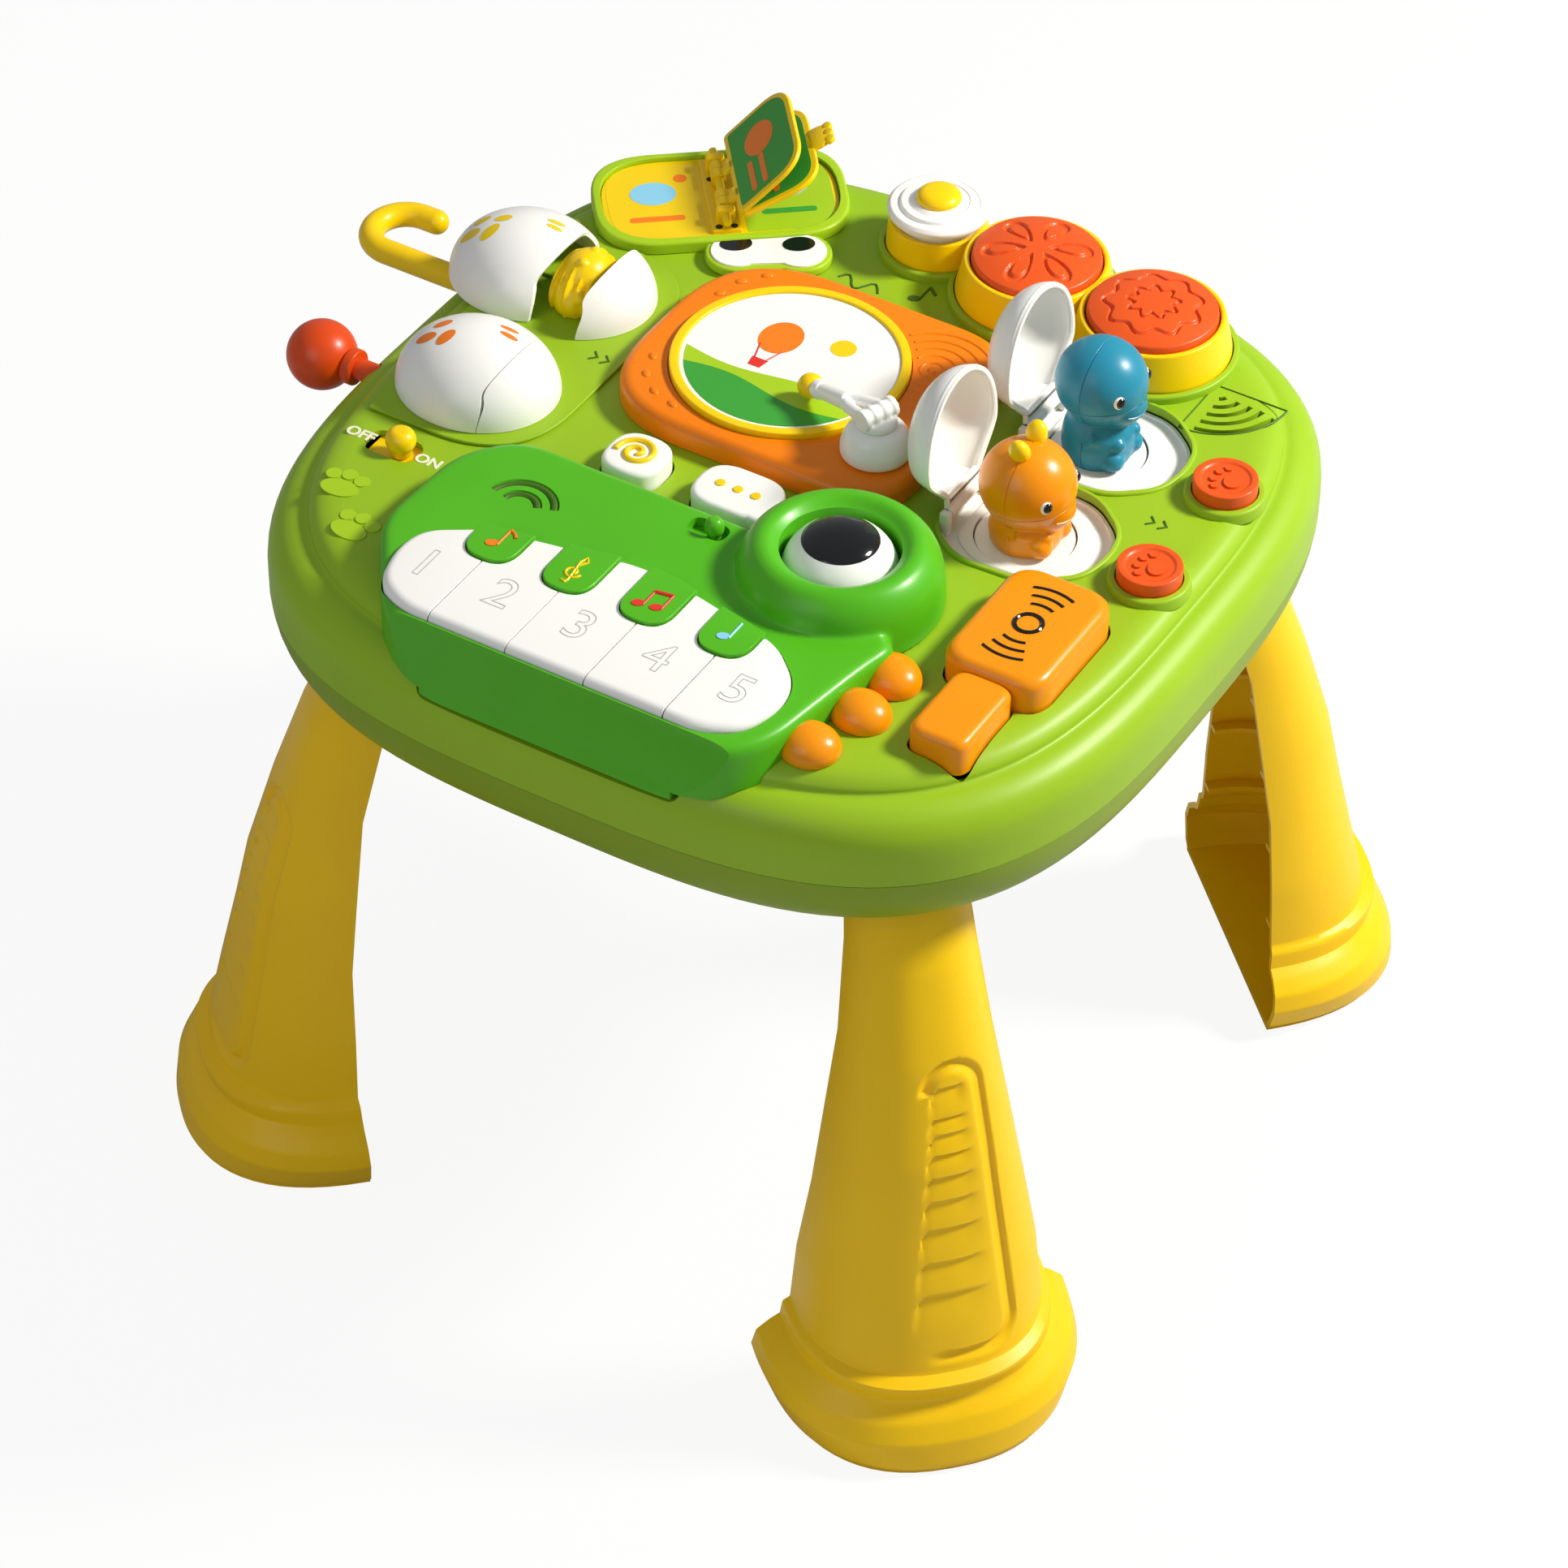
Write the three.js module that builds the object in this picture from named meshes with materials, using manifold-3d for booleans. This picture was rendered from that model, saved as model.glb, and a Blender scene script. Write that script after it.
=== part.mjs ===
import * as THREE from "three";
import { mergeVertices } from "three/addons/utils/BufferGeometryUtils.js";
import Module from "manifold-3d";

const wasm = await Module();
wasm.setup();

// A musical activity table on four legs. Lengths are in millimetres.
// X runs to the player's right, Y away from the player and Z up from the floor.
// The pieces are drawn round the middle of the table, and the group is centred at the end.

// Shared walls and clearances
const wall = 3;
const gap = 0.3;
const runningGap = 0.6;
const overrun = 6;
const weld = 0.0001;
const shoulderShare = 0.3;
const quarter = Math.PI / 2;
const cornerShare = 0.46;
const ballRingShare = 0.6;
const round = [1, 1, 1];

// Casing: a rounded square of two shells that meet at a parting line
const casing = { halfWidth: 210, depthShare: 1.009, squareShare: 3.135, sides: 48 };
const cover = { top: 347, rimWidth: 26, rimDrop: 43 };
const rimShares = [
  [1, 0], [0.79, 0.04], [0.65, 0.13], [0.64, 0.2], [0.42, 0.21], [0.19, 0.3], [0.04, 0.465], [0, 0.65], [0, 1],
];
const skirt = { width: 12, drop: 28 };
const skirtShares = [[0, 0], [0.08, 0.32], [0.29, 0.64], [0.62, 0.91], [1, 1]];
const partingHeight = cover.top - cover.rimDrop;
const floorHeight = partingHeight - skirt.drop;
const collar = { height: 4, width: 3, foot: 10 };

// Legs: hollow D sections that lean out and end in a bumper foot
const leg = { chord: 223, halfWidth: 74, reach: 301, hoopDepth: 6, hoopThickness: 2.5 };
const legSection = { powerShare: 2.4, points: 7 };
const tenon = { radial: 16, across: 34, height: 18 };
const tailShare = 0.4;
// Each row: height, distance of the open side, half width, outer reach
const legShares = [
  [0, 0.991, 0.87, 0.993], [0.018, 0.991, 0.94, 1], [0.065, 0.992, 1, 0.993], [0.098, 0.994, 0.97, 0.977],
  [0.12, 0.996, 0.885, 0.957], [0.13, 0.996, 0.825, 0.955], [0.16, 0.998, 0.81, 0.963], [0.17, 1, 0.765, 0.94],
  [0.286, 0.995, 0.725, 0.915], [0.4275, 0.989, 0.635, 0.884], [0.55, 0.969, 0.56, 0.86],
  [0.717, 0.94, 0.455, 0.812], [0.87, 0.885, 0.385, 0.76], [1, 0.82, 0.345, 0.705],
];
const hoopShares = [0.36, 0.66];

// Battery box, its door, the circuit board and the speaker inside the casing
const battery = { x: 0, y: -40, length: 120, width: 72, height: 24, lip: 4, corner: 4 };
const board = { x: -30, y: 75, length: 110, width: 70, thickness: 1.6, chip: 24, chipHeight: 8, corner: 2 };
const speaker = { x: 140, y: 126, radius: 16, height: 16, magnetRadius: 10, flange: 3 };
const grille = { x: 137, y: 137, pitch: 6, slot: 2.6, edge: 3, slots: 5 };

// Crocodile piano
const croc = { left: -122, front: -210, width: 234, depth: 139, top: 362, chin: 330.5, soft: 4, corner: 14 };
const crocShares = [
  [0.01, 0.83], [0.09, 1], [0.6, 1], [0.8, 1], [0.96, 0.79], [1, 0.74], [0.98, 0.61], [0.94, 0.18],
  [0.88, 0.05], [0.79, 0], [0.25, 0], [0.14, 0.09], [0, 0.43],
];
const notch = { halfWidth: 66, front: -188, floor: 328 };
const jaw = { halfWidth: 63, lipHeight: 358, lipBack: 11, run: 12, drop: 30 };
const mouth = { left: -103, front: -198, width: 195, depth: 77, corner: 9 };
const mouthShares = [
  [0, 0.4], [0.015, 0.62], [0.14, 0.83], [0.48, 1], [0.58, 1], [0.89, 0.83], [0.98, 0.62], [1, 0.4],
  [0.97, 0.13], [0.89, 0], [0.12, 0], [0.03, 0.13],
];
const mound = { x: 66, y: -77, radius: 45, socket: 26.5, crown: 379, floor: 352 };
const moundShares = [[0, 0.85], [0.14, 0.96], [0.4, 1], [0.7, 0.93], [0.92, 0.7], [1, 0.45], [1, 0]];
const eye = { radius: 25.6, crown: 384.5 };
const eyeShares = [[0.93, 0], [1, 0.3], [0.97, 0.6], [0.8, 0.84], [0.46, 0.97], [0, 1]];
const keys = { first: -65, pitch: 39, count: 5, bottom: 352, top: 365.5, soft: 4, gap: 0.6, noteShift: 1 };
const notes = { width: 24, front: -155, top: 367, soft: 1.2, count: 4 };
const claws = { radius: 11.5, squash: 0.85, bar: 7 };
const clawPlaces = { spreadX: [113, 113.4, 105.5], spreadY: [-112.5, -139, -167.5] };
const modeSlot = { x: 3.6, y: -83, length: 19, width: 11, depth: 5 };
const modeKnob = { start: 3, radius: 4.4, height: 12 };

// Power switch
const powerSlot = { x: -155, y: -92, length: 27, width: 16 };
const knobShares = [[0.7, 0], [0.7, 0.33], [1, 0.5], [0.9, 0.8], [0.5, 1]];
const powerKnob = { start: 4, radius: 7, height: 11, stem: 4, flangeLength: 30, flangeWidth: 21, flange: 2 };

// Press buttons that pass through the cover
const plunger = 5;
const spiral = { x: -55, y: -48.5, radius: 14.5, rise: 9, soft: 2 };
const speech = { x: -3, y: -48, length: 41, width: 30, corner: 15, rise: 10, soft: 2 };
const speechTail = { x: 16, y: -8, length: 16, width: 12 };
const paw = { x: 174, backY: 72, frontY: 2, radius: 14.5, rise: 10, soft: 1.5 };
const pawRim = { width: 3, slope: 0.9, dish: 0.75, collarWidth: 3.5, collarHeight: 3.5 };
const sound = { x: 152, y: -66, width: 49, length: 72, rise: 16, corner: 14, soft: 4 };
const soundTail = { x: 152, y: -123, width: 28, length: 46, rise: 12, corner: 8, soft: 4 };

// Hatching figures in their cups, under hinged half eggs
const cup = { left: 77, length: 74, halfWidth: 35, corner: 9, floor: 342 };
const cupWall = { side: 1.8, floor: 2, lipDrop: 1.5 };
const cupShares = [
  [0, -0.6], [0.25, -0.98], [0.7, -0.93], [0.95, -0.5], [1, 0], [0.95, 0.5], [0.7, 0.93], [0.25, 0.98], [0, 0.6],
];
const cupY = { back: 77, front: 7 };
const lid = { hinge: 80, height: 351.5, centre: 30, length: 35, halfWidth: 30, depth: 22, wall: 2, open: 1.64 };
const lidKnuckle = { radius: 2.6, length: 30 };
const lug = { width: 5, thickness: 4, rise: 2.4, reach: 4.2 };
const platform = { radius: 22.3, thickness: 2.4, stem: 12, drop: 10 };
const bluePet = { x: 108.7, y: 75.5, head: 21, neck: 40, body: 16.5, bodyHeight: 25, spikes: 0 };
const orangePet = { x: 111, y: 6, head: 21.8, neck: 30.5, body: 16.5, bodyHeight: 18, spikes: 6 };
const limb = { radius: 5, forward: 12.4, apart: 8, footLift: 5.2, handShare: 0.62 };
const headShares = [1, 0.96, 0.96];
const snout = { radius: 12.5, sinkShare: 0.96, dropShare: 0.33 };
const spike = { radius: 4.6, apart: 7, back: 1 };
const petBodyShares = [[0.84, 0], [1, 0.2], [1, 0.55], [0.82, 0.85], [0.5, 1]];

// Drums
const drum = { wall: 2.6, bottom: 2.5, stem: 7, crown: 6.5 };
const drumFit = { gap: 0.6, drop: 2, wall: 3 };
const padShares = [[0.96, 0.35], [0.82, 0.7], [0.5, 0.93], [0, 1]];
const smallDrum = { radius: 24.5, taper: 1.6, rim: 365 };
const bigDrum = { radius: 37.5, taper: 4.1, rim: 368.5 };
const drums = [
  { name: "left", x: -24.5, y: 163.5, ...smallDrum },
  { name: "middle", x: 32.3, y: 155, ...bigDrum },
  { name: "right", x: 96.6, y: 147, ...bigDrum },
];
const friedEgg = { radius: 24, thickness: 7, yolk: 11, yolkRise: 5 };
const friedEggShares = { edge: 0.9, yolk: 0.7 };

// Turntable
const deck = { left: -98, right: 58, front: -26, back: 105, top: 359, soft: 4 };
const deckCorners = { frontLeft: 50, frontRight: 28, backRight: 36, backLeft: 54 };
const disc = { x: -29, y: 38.7, radius: 54.5, top: 362, floor: 357.5, rim: 4, inset: 1.2, hub: 5, hubDepth: 6 };
const post = { x: 36, y: 4, radius: 16, top: 375, soft: 3 };
const arm = { hub: 10, hubHeight: 10, radius: 3.2, rootRise: 6.4, pin: 4, pinDepth: 6 };
const armTip = { x: -6.5, y: 19, height: 368.6, radius: 6 };

// Book, drawn along its own long axis
const book = { x: -128, y: 138.9, turn: 0.677, length: 120, width: 72, corner: 30 };
const bookWell = { rim: 353.5, wall: 4, base: 349.5 };
const bookBoard = { top: 351.5, soft: 1 };
const pin = { radius: 2, height: 357.5, length: 58 };
const bookLug = { width: 9, thickness: 5, reach: 18.5, top: 361 };
const leaf = { start: 8, length: 41, halfWidth: 31, thickness: 2, corner: 16 };
const leafEar = { radius: 3.6, bore: 2.3, width: 5.6 };
const leafPlaces = { first: [-17.5, 5], second: [-11.5, 11] };
const leafAngles = { first: 0.78, second: 0.48 };
const leafTab = { length: 10, width: 17, corner: 6 };
const frogEyes = { spreadX: [2.6, 31.5], spreadY: [-43.6, -47.4], radius: 15, rise: 6, soft: 2 };

// Egg deck and the eggs that slide open
const eggDeck = { right: -100, front: -76, back: 86, corner: 30, thickness: 1.5, inset: 1 };
const egg = { x: -146.6, backY: 43.3, frontY: -37.2, halfLength: 38.8, halfWidth: 34.5, height: 29.5, wall: 2 };
const eggOpening = { crack: -128, travel: 25 };
const crackShares = [[0, 0], [0.03, 0.35], [-0.01, 0.5], [0.06, 0.78], [0.06, 1]];
const crackReach = 30;
const shellSides = 16;
const shellRings = 10;
const tab = { x: -160, thickness: 4, width: 10, top: 366, rib: 2 };
const rods = { height: 331, hook: 6, ball: 5.2, ballX: -233, ballRadius: 16.5 };
const hookBend = { x: -253, radius: 16, endX: -246, steps: 6, pathSteps: 17 };
const chick = { x: -141, radius: 14, height: 21 };
const chickShares = [[0.9, 0], [1, 0.3], [0.72, 0.5], [0.92, 0.7], [0.75, 0.92], [0, 1]];

// Finishes
const lime = finish("#8fbf35", 0.45);
const grass = finish("#35a836", 0.4);
const yellow = finish("#f5c400", 0.4);
const orange = finish("#f5820f", 0.4);
const coral = finish("#ec5a26", 0.4);
const white = finish("#f7f7f4", 0.3);
const blue = finish("#2f93ad", 0.4);
const dark = finish("#24262a", 0.6);
const circuitGreen = finish("#1f6b3a", 0.6);
const steel = finish("#b9bcc0", 0.35, 0.9);

function finish(color, roughness, metalness = 0) {
  return { color, roughness, metalness };
}

// Solids

function solid(geometry) {
  const loose = geometry.index ? geometry.toNonIndexed() : geometry;
  loose.deleteAttribute("normal");
  loose.deleteAttribute("uv");
  const merged = mergeVertices(loose, weld);
  const vertProperties = merged.attributes.position.array;
  const triVerts = new Uint32Array(merged.index.array);
  return new wasm.Manifold(new wasm.Mesh({ numProp: 3, vertProperties, triVerts }));
}

function joined(parts) {
  return parts.reduce((whole, part) => whole.add(part));
}

function cut(body, cutters) {
  return cutters.reduce((rest, cutter) => rest.subtract(cutter), body);
}

// A profile of radius and height turned about an upright axis
function turnedGeometry(profile, sides = 28) {
  const points = profile.map(([radius, height]) => new THREE.Vector2(radius, height));
  return new THREE.LatheGeometry(points, sides).rotateX(quarter);
}

function turned(profile, x = 0, y = 0, sides = 24) {
  return solid(turnedGeometry(profile, sides).translate(x, y, 0));
}

function pillar(radius, low, high, x = 0, y = 0, sides = 24) {
  return turned([[0, low], [radius, low], [radius, high], [0, high]], x, y, sides);
}

function box(x0, x1, y0, y1, z0, z1) {
  const geometry = new THREE.BoxGeometry(x1 - x0, y1 - y0, z1 - z0);
  return solid(geometry.translate((x0 + x1) / 2, (y0 + y1) / 2, (z0 + z1) / 2));
}

function ball(radius, x, y, z, squash = round, sides = 14) {
  const geometry = new THREE.SphereGeometry(radius, sides, Math.round(sides * ballRingShare));
  return solid(geometry.scale(...squash).translate(x, y, z));
}

// A round bar between two points
function bar(radius, from, to, sides = 14) {
  const axis = to.clone().sub(from);
  const geometry = new THREE.CylinderGeometry(radius, radius, axis.length(), sides);
  const along = new THREE.Vector3(0, 1, 0);
  geometry.applyQuaternion(new THREE.Quaternion().setFromUnitVectors(along, axis.normalize()));
  const middle = from.clone().add(to).multiplyScalar(0.5);
  return solid(geometry.translate(middle.x, middle.y, middle.z));
}

// An outline extruded from low to high, grown by an offset, with a softened top edge
function prism(shape, low, high, offset = 0, soft = 0, curveSegments = 3) {
  const shoulder = soft * shoulderShare;
  const softened = [[offset, high - soft], [offset - shoulder, high - shoulder], [offset - soft, high]];
  const used = [[offset, low], ...(soft > 0 ? softened : [[offset, high]])];
  const steps = used.length - 1;
  const geometry = new THREE.ExtrudeGeometry(shape, { depth: steps, steps, curveSegments, bevelEnabled: false });
  geometry.computeBoundingBox();
  const middle = geometry.boundingBox.getCenter(new THREE.Vector3());
  const half = geometry.boundingBox.getSize(new THREE.Vector3()).multiplyScalar(0.5);
  const place = geometry.attributes.position;
  for (let i = 0; i < place.count; i++) {
    const [growth, height] = used[Math.round(place.getZ(i))];
    const x = middle.x + (place.getX(i) - middle.x) * (1 + growth / half.x);
    const y = middle.y + (place.getY(i) - middle.y) * (1 + growth / half.y);
    place.setXYZ(i, x, y, height);
  }
  return solid(geometry);
}

// A polygon with its corners rounded off, by one radius or by one for each corner
function rounded(points, corners) {
  const shape = new THREE.Shape();
  points.forEach(([x, y], i) => {
    const radius = Array.isArray(corners) ? corners[i] : corners;
    const from = towards([x, y], points[(i + points.length - 1) % points.length], radius);
    const to = towards([x, y], points[(i + 1) % points.length], radius);
    if (i === 0) shape.moveTo(...from);
    else shape.lineTo(...from);
    shape.quadraticCurveTo(x, y, ...to);
  });
  shape.closePath();
  return shape;
}

function towards([x, y], [endX, endY], distance) {
  const length = Math.hypot(endX - x, endY - y);
  const share = Math.min(distance / length, cornerShare);
  return [x + (endX - x) * share, y + (endY - y) * share];
}

function roundedBox(x, y, width, length, corner) {
  const right = x + width / 2;
  const left = x - width / 2;
  const back = y + length / 2;
  const front = y - length / 2;
  return rounded([[left, front], [right, front], [right, back], [left, back]], corner);
}

function circle(x, y, radius) {
  return new THREE.Shape().absarc(x, y, radius, 0, 2 * Math.PI);
}

function fromShares(shares, left, front, width, depth) {
  return shares.map(([x, y]) => [left + x * width, front + y * depth]);
}

// Casing outline: every circle of the turned casing becomes a rounded square
function squared(geometry) {
  const { depthShare, squareShare } = casing;
  const place = geometry.attributes.position;
  for (let i = 0; i < place.count; i++) {
    const radius = Math.hypot(place.getX(i), place.getY(i));
    if (radius < weld) continue;
    const across = Math.abs(place.getX(i) / radius) ** squareShare;
    const along = Math.abs(place.getY(i) / radius) ** squareShare;
    const reach = (across + along) ** (-1 / squareShare);
    place.setXY(i, place.getX(i) * reach, place.getY(i) * reach * depthShare);
  }
  return solid(geometry);
}

function rimProfile(inset, shares = rimShares) {
  const points = shares.map(([x, drop]) => [
    casing.halfWidth - x * cover.rimWidth - inset,
    cover.top - drop * cover.rimDrop - inset,
  ]);
  points[points.length - 1][1] = partingHeight;
  return points;
}

function skirtProfile(inset) {
  return skirtShares.map(([x, drop]) => [
    casing.halfWidth - x * skirt.width - inset,
    Math.min(partingHeight - drop * skirt.drop + inset, partingHeight) - gap,
  ]);
}

// The space under the cover's outer skin, grown by a clearance
function coverBlock(growth) {
  const outer = rimProfile(-growth);
  const low = partingHeight;
  return squared(turnedGeometry([[0, low], ...outer.reverse(), [0, cover.top + growth]], casing.sides));
}

function topCover() {
  const outer = rimProfile(0).reverse();
  const inner = rimProfile(wall, rimShares.filter((_, i) => i % 2 === 0));
  const profile = [[0, cover.top - wall], ...inner, ...outer, [0, cover.top]];
  const shell = squared(turnedGeometry(profile, casing.sides));
  const low = cover.top - wall - overrun;
  const high = cover.top + overrun;
  const rings = drums.map(({ x, y, radius }) =>
    pillar(radius + collar.width, cover.top - wall, cover.top + collar.height, x, y));
  const feet = drums.map(collarFoot);
  const pawRings = [paw.backY, paw.frontY].map((y) =>
    pillar(paw.radius + pawRim.collarWidth, cover.top - wall, cover.top + pawRim.collarHeight, paw.x, y));
  const lining = box(
    -notch.halfWidth - wall, notch.halfWidth + wall, -casing.halfWidth * 2, notch.front + wall,
    notch.floor - wall, cover.top - gap,
  ).intersect(coverBlock(0));
  const cutters = [
    ...drums.map(({ x, y, radius }) => pillar(radius + gap, cover.top, high, x, y)),
    ...drums.map(({ x, y }) => pillar(drum.stem + runningGap, low, high, x, y, 16)),
    ...[paw.backY, paw.frontY].map((y) => pillar(paw.radius + runningGap, low, high, paw.x, y)),
    ...[cupY.back, cupY.front].map((y) => prism(cupOutline(y), low, high, gap)),
    prism(spiralOutline(), low, high, runningGap),
    prism(speechOutline(), low, high, runningGap),
    ...soundOutlines().map((outline) => prism(outline, low, high, runningGap)),
    prism(powerOutline(), low, high),
    pillar(disc.hub + runningGap, low, high, disc.x, disc.y, 16),
    box(-notch.halfWidth, notch.halfWidth, -casing.halfWidth * 2, notch.front, notch.floor, high),
    ...grilleSlots(),
    ...sliderSlots(low, high),
    ...rodHoles(),
  ];
  return cut(joined([shell, lining, ...rings, ...feet, ...pawRings]), cutters);
}

// The collar's foot where a drum stands out over the casing's sloping rim
function collarFoot({ x, y, radius }) {
  const foot = pillar(radius + collar.width, cover.top - collar.foot, cover.top, x, y);
  return foot.subtract(coverBlock(-wall));
}

function grilleSlots() {
  const slots = [];
  for (let i = 1; i <= grille.slots; i++) {
    const radius = i * grille.pitch;
    const inset = grille.edge / radius;
    const shape = new THREE.Shape();
    const outer = radius + grille.slot / 2;
    const inner = radius - grille.slot / 2;
    shape.absarc(grille.x, grille.y, outer, -quarter + inset, -inset, false);
    shape.absarc(grille.x, grille.y, inner, -inset, -quarter + inset, true);
    slots.push(prism(shape, cover.top - overrun * 2, cover.top + overrun, 0, 0, 2));
  }
  return slots;
}

function sliderSlots(low, high) {
  return [egg.backY, egg.frontY].map((y) => box(
    tab.x - tab.thickness / 2 - eggOpening.travel - runningGap, tab.x + tab.thickness / 2 + runningGap,
    y - tab.width / 2 - runningGap, y + tab.width / 2 + runningGap, low, high,
  ));
}

function rodHoles() {
  const from = new THREE.Vector3(-casing.halfWidth - overrun, egg.backY, rods.height);
  const to = new THREE.Vector3(cover.rimWidth - casing.halfWidth, egg.backY, rods.height);
  const back = bar(rods.hook + runningGap, from, to, 18);
  const front = bar(rods.ball + runningGap, from.clone().setY(egg.frontY), to.clone().setY(egg.frontY), 18);
  return [back, front];
}

function bottomTray() {
  const outer = skirtProfile(0);
  const inner = skirtProfile(wall).reverse();
  const low = floorHeight - gap;
  const profile = [[0, low], ...outer.reverse(), ...inner.reverse(), [0, low + wall]];
  const shell = squared(turnedGeometry(profile, casing.sides));
  const under = floorHeight - overrun;
  const over = floorHeight + wall + overrun;
  const holes = legAngles().map((angle) => solid(tenonGeometry(gap, under, over).rotateZ(angle)));
  const opening = prism(batteryOutline(-battery.lip), under, over);
  return cut(shell, [...holes, opening]);
}

// Legs

function legAngles() {
  return [0, 1, 2, 3].map((i) => -3 * Math.PI / 4 + i * quarter);
}

function tenonGeometry(clearance, low, high) {
  const top = legShares[legShares.length - 1];
  const radius = (top[1] * leg.chord + top[3] * leg.reach) / 2;
  const geometry = new THREE.BoxGeometry(tenon.radial + 2 * clearance, tenon.across + 2 * clearance, high - low);
  return geometry.translate(radius, 0, (high + low) / 2);
}

// A D section lofted up the leg, drawn inset from its outer skin
function legLoft(inset, tail) {
  const { points, powerShare } = legSection;
  const shape = new THREE.Shape();
  shape.moveTo(-tail, -1);
  for (let i = 0; i <= points; i++) {
    const angle = -quarter + (i / points) * Math.PI;
    const x = Math.abs(Math.cos(angle)) ** (2 / powerShare);
    const y = Math.sign(Math.sin(angle)) * Math.abs(Math.sin(angle)) ** (2 / powerShare);
    shape.lineTo(i % points === 0 ? 0 : x, y);
  }
  shape.lineTo(-tail, 1);
  shape.closePath();
  const steps = legShares.length - 1;
  const geometry = new THREE.ExtrudeGeometry(shape, { depth: steps, steps, bevelEnabled: false });
  const place = geometry.attributes.position;
  const top = floorHeight - 2 * gap;
  for (let i = 0; i < place.count; i++) {
    const [height, chord, width, reach] = legShares[Math.round(place.getZ(i))];
    const near = chord * leg.chord;
    const depth = reach * leg.reach - inset - near;
    const side = width * leg.halfWidth - inset;
    place.setXYZ(i, near + place.getX(i) * depth, place.getY(i) * side, height * top);
  }
  return solid(geometry);
}

function legBody() {
  const top = floorHeight - 2 * gap;
  const size = leg.reach + overrun;
  const inside = box(-size, size, -size, size, wall, top - wall);
  const hollow = legLoft(wall, tailShare).intersect(inside);
  const hoops = hoopShares.map((share) =>
    box(-size, size, -size, size, share * top, share * top + leg.hoopThickness));
  const passage = legLoft(wall + leg.hoopDepth, tailShare).intersect(inside);
  const stub = solid(tenonGeometry(0, top - wall, floorHeight + tenon.height));
  return cut(legLoft(0, 0), [cut(hollow, hoops), passage]).add(stub);
}

// Battery box, door, circuit board and speaker

function batteryOutline(growth) {
  const { x, y, length, width, corner } = battery;
  return roundedBox(x, y, length + 2 * growth, width + 2 * growth, corner);
}

function batteryBox() {
  const low = floorHeight + wall;
  const high = low + battery.height;
  const inner = prism(batteryOutline(-wall - gap), low - overrun, high - wall);
  return prism(batteryOutline(0), low, high).subtract(inner);
}

function batteryDoor() {
  return prism(batteryOutline(-battery.lip - gap), floorHeight - gap, floorHeight + wall - gap);
}

function circuitBoard() {
  const low = floorHeight + wall;
  const outline = roundedBox(board.x, board.y, board.length, board.width, board.corner);
  const chip = roundedBox(board.x, board.y, board.chip, board.chip, board.corner);
  return prism(outline, low, low + board.thickness).add(prism(chip, low, low + board.chipHeight));
}

function speakerBody() {
  const high = cover.top - wall - gap;
  const { x, y, radius, height, magnetRadius, flange } = speaker;
  const profile = [
    [0, high - height], [magnetRadius, high - height], [magnetRadius, high - height / 2],
    [radius - flange, high - flange], [radius, high - flange], [radius, high], [radius - flange, high],
    [magnetRadius / 2, high - flange], [0, high - flange],
  ];
  return turned(profile, x, y, 16);
}

// Crocodile piano

function crocOutline() {
  return rounded(fromShares(crocShares, croc.left, croc.front, croc.width, croc.depth), croc.corner);
}

function mouthOutline() {
  return rounded(fromShares(mouthShares, mouth.left, mouth.front, mouth.width, mouth.depth), mouth.corner);
}

function crocodileHead() {
  const slab = prism(crocOutline(), croc.chin - croc.soft, croc.top, 0, croc.soft);
  const pocket = box(
    -notch.halfWidth + gap, notch.halfWidth - gap, -casing.halfWidth * 2, notch.front - gap,
    notch.floor + gap, cover.top,
  );
  const under = coverBlock(gap).subtract(pocket);
  const chinCut = box(
    -croc.width, croc.width, -casing.halfWidth * 2, 0, partingHeight - overrun, croc.chin,
  );
  const flanks = [-1, 1].map((side) => box(
    side > 0 ? jaw.halfWidth : -croc.width, side > 0 ? croc.width : -jaw.halfWidth,
    -casing.halfWidth * 2, notch.front, partingHeight, notch.floor + overrun,
  ));
  const ridge = turned(moundProfile(), mound.x, mound.y, 28);
  const socket = pillar(mound.socket, mound.floor, mound.crown + overrun, mound.x, mound.y, 28);
  const opening = prism(mouthOutline(), cover.top, croc.top + overrun);
  const slot = prism(
    roundedBox(modeSlot.x, modeSlot.y, modeSlot.length, modeSlot.width, modeSlot.width / 2),
    croc.top - modeSlot.depth, croc.top + overrun,
  );
  return cut(slab.add(ridge), [under, chinCut, ...flanks, slantedFront(), socket, opening, slot]);
}

// The jaw's front leans back from the chin to the lip under the keys
function slantedFront() {
  const lipY = croc.front + jaw.lipBack;
  const shape = new THREE.Shape();
  shape.moveTo(lipY, jaw.lipHeight);
  shape.lineTo(lipY - jaw.run, jaw.lipHeight - jaw.drop);
  shape.lineTo(lipY - croc.depth, jaw.lipHeight - jaw.drop);
  shape.lineTo(lipY - croc.depth, croc.top + overrun);
  shape.lineTo(lipY, croc.top + overrun);
  shape.closePath();
  const geometry = new THREE.ExtrudeGeometry(shape, { depth: 2 * croc.width, bevelEnabled: false });
  // The shape is drawn in Y and Z, and is extruded along X
  geometry.rotateY(quarter);
  geometry.rotateX(quarter);
  return solid(geometry.translate(-croc.width, 0, 0));
}

function moundProfile() {
  const ring = moundShares.map(([x, rise]) => [
    mound.socket - gap + x * (mound.radius - mound.socket),
    cover.top + gap + rise * (mound.crown - cover.top),
  ]);
  const low = cover.top + gap;
  return [[0, low], ...ring.reverse(), [0, ring[ring.length - 1][1]]];
}

function crocodileEyeball() {
  const low = mound.floor + gap;
  const skin = eyeShares.map(([x, rise]) => [x * eye.radius, low + rise * (eye.crown - low)]);
  return turned([[0, low], ...skin], mound.x, mound.y, 28);
}

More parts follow.
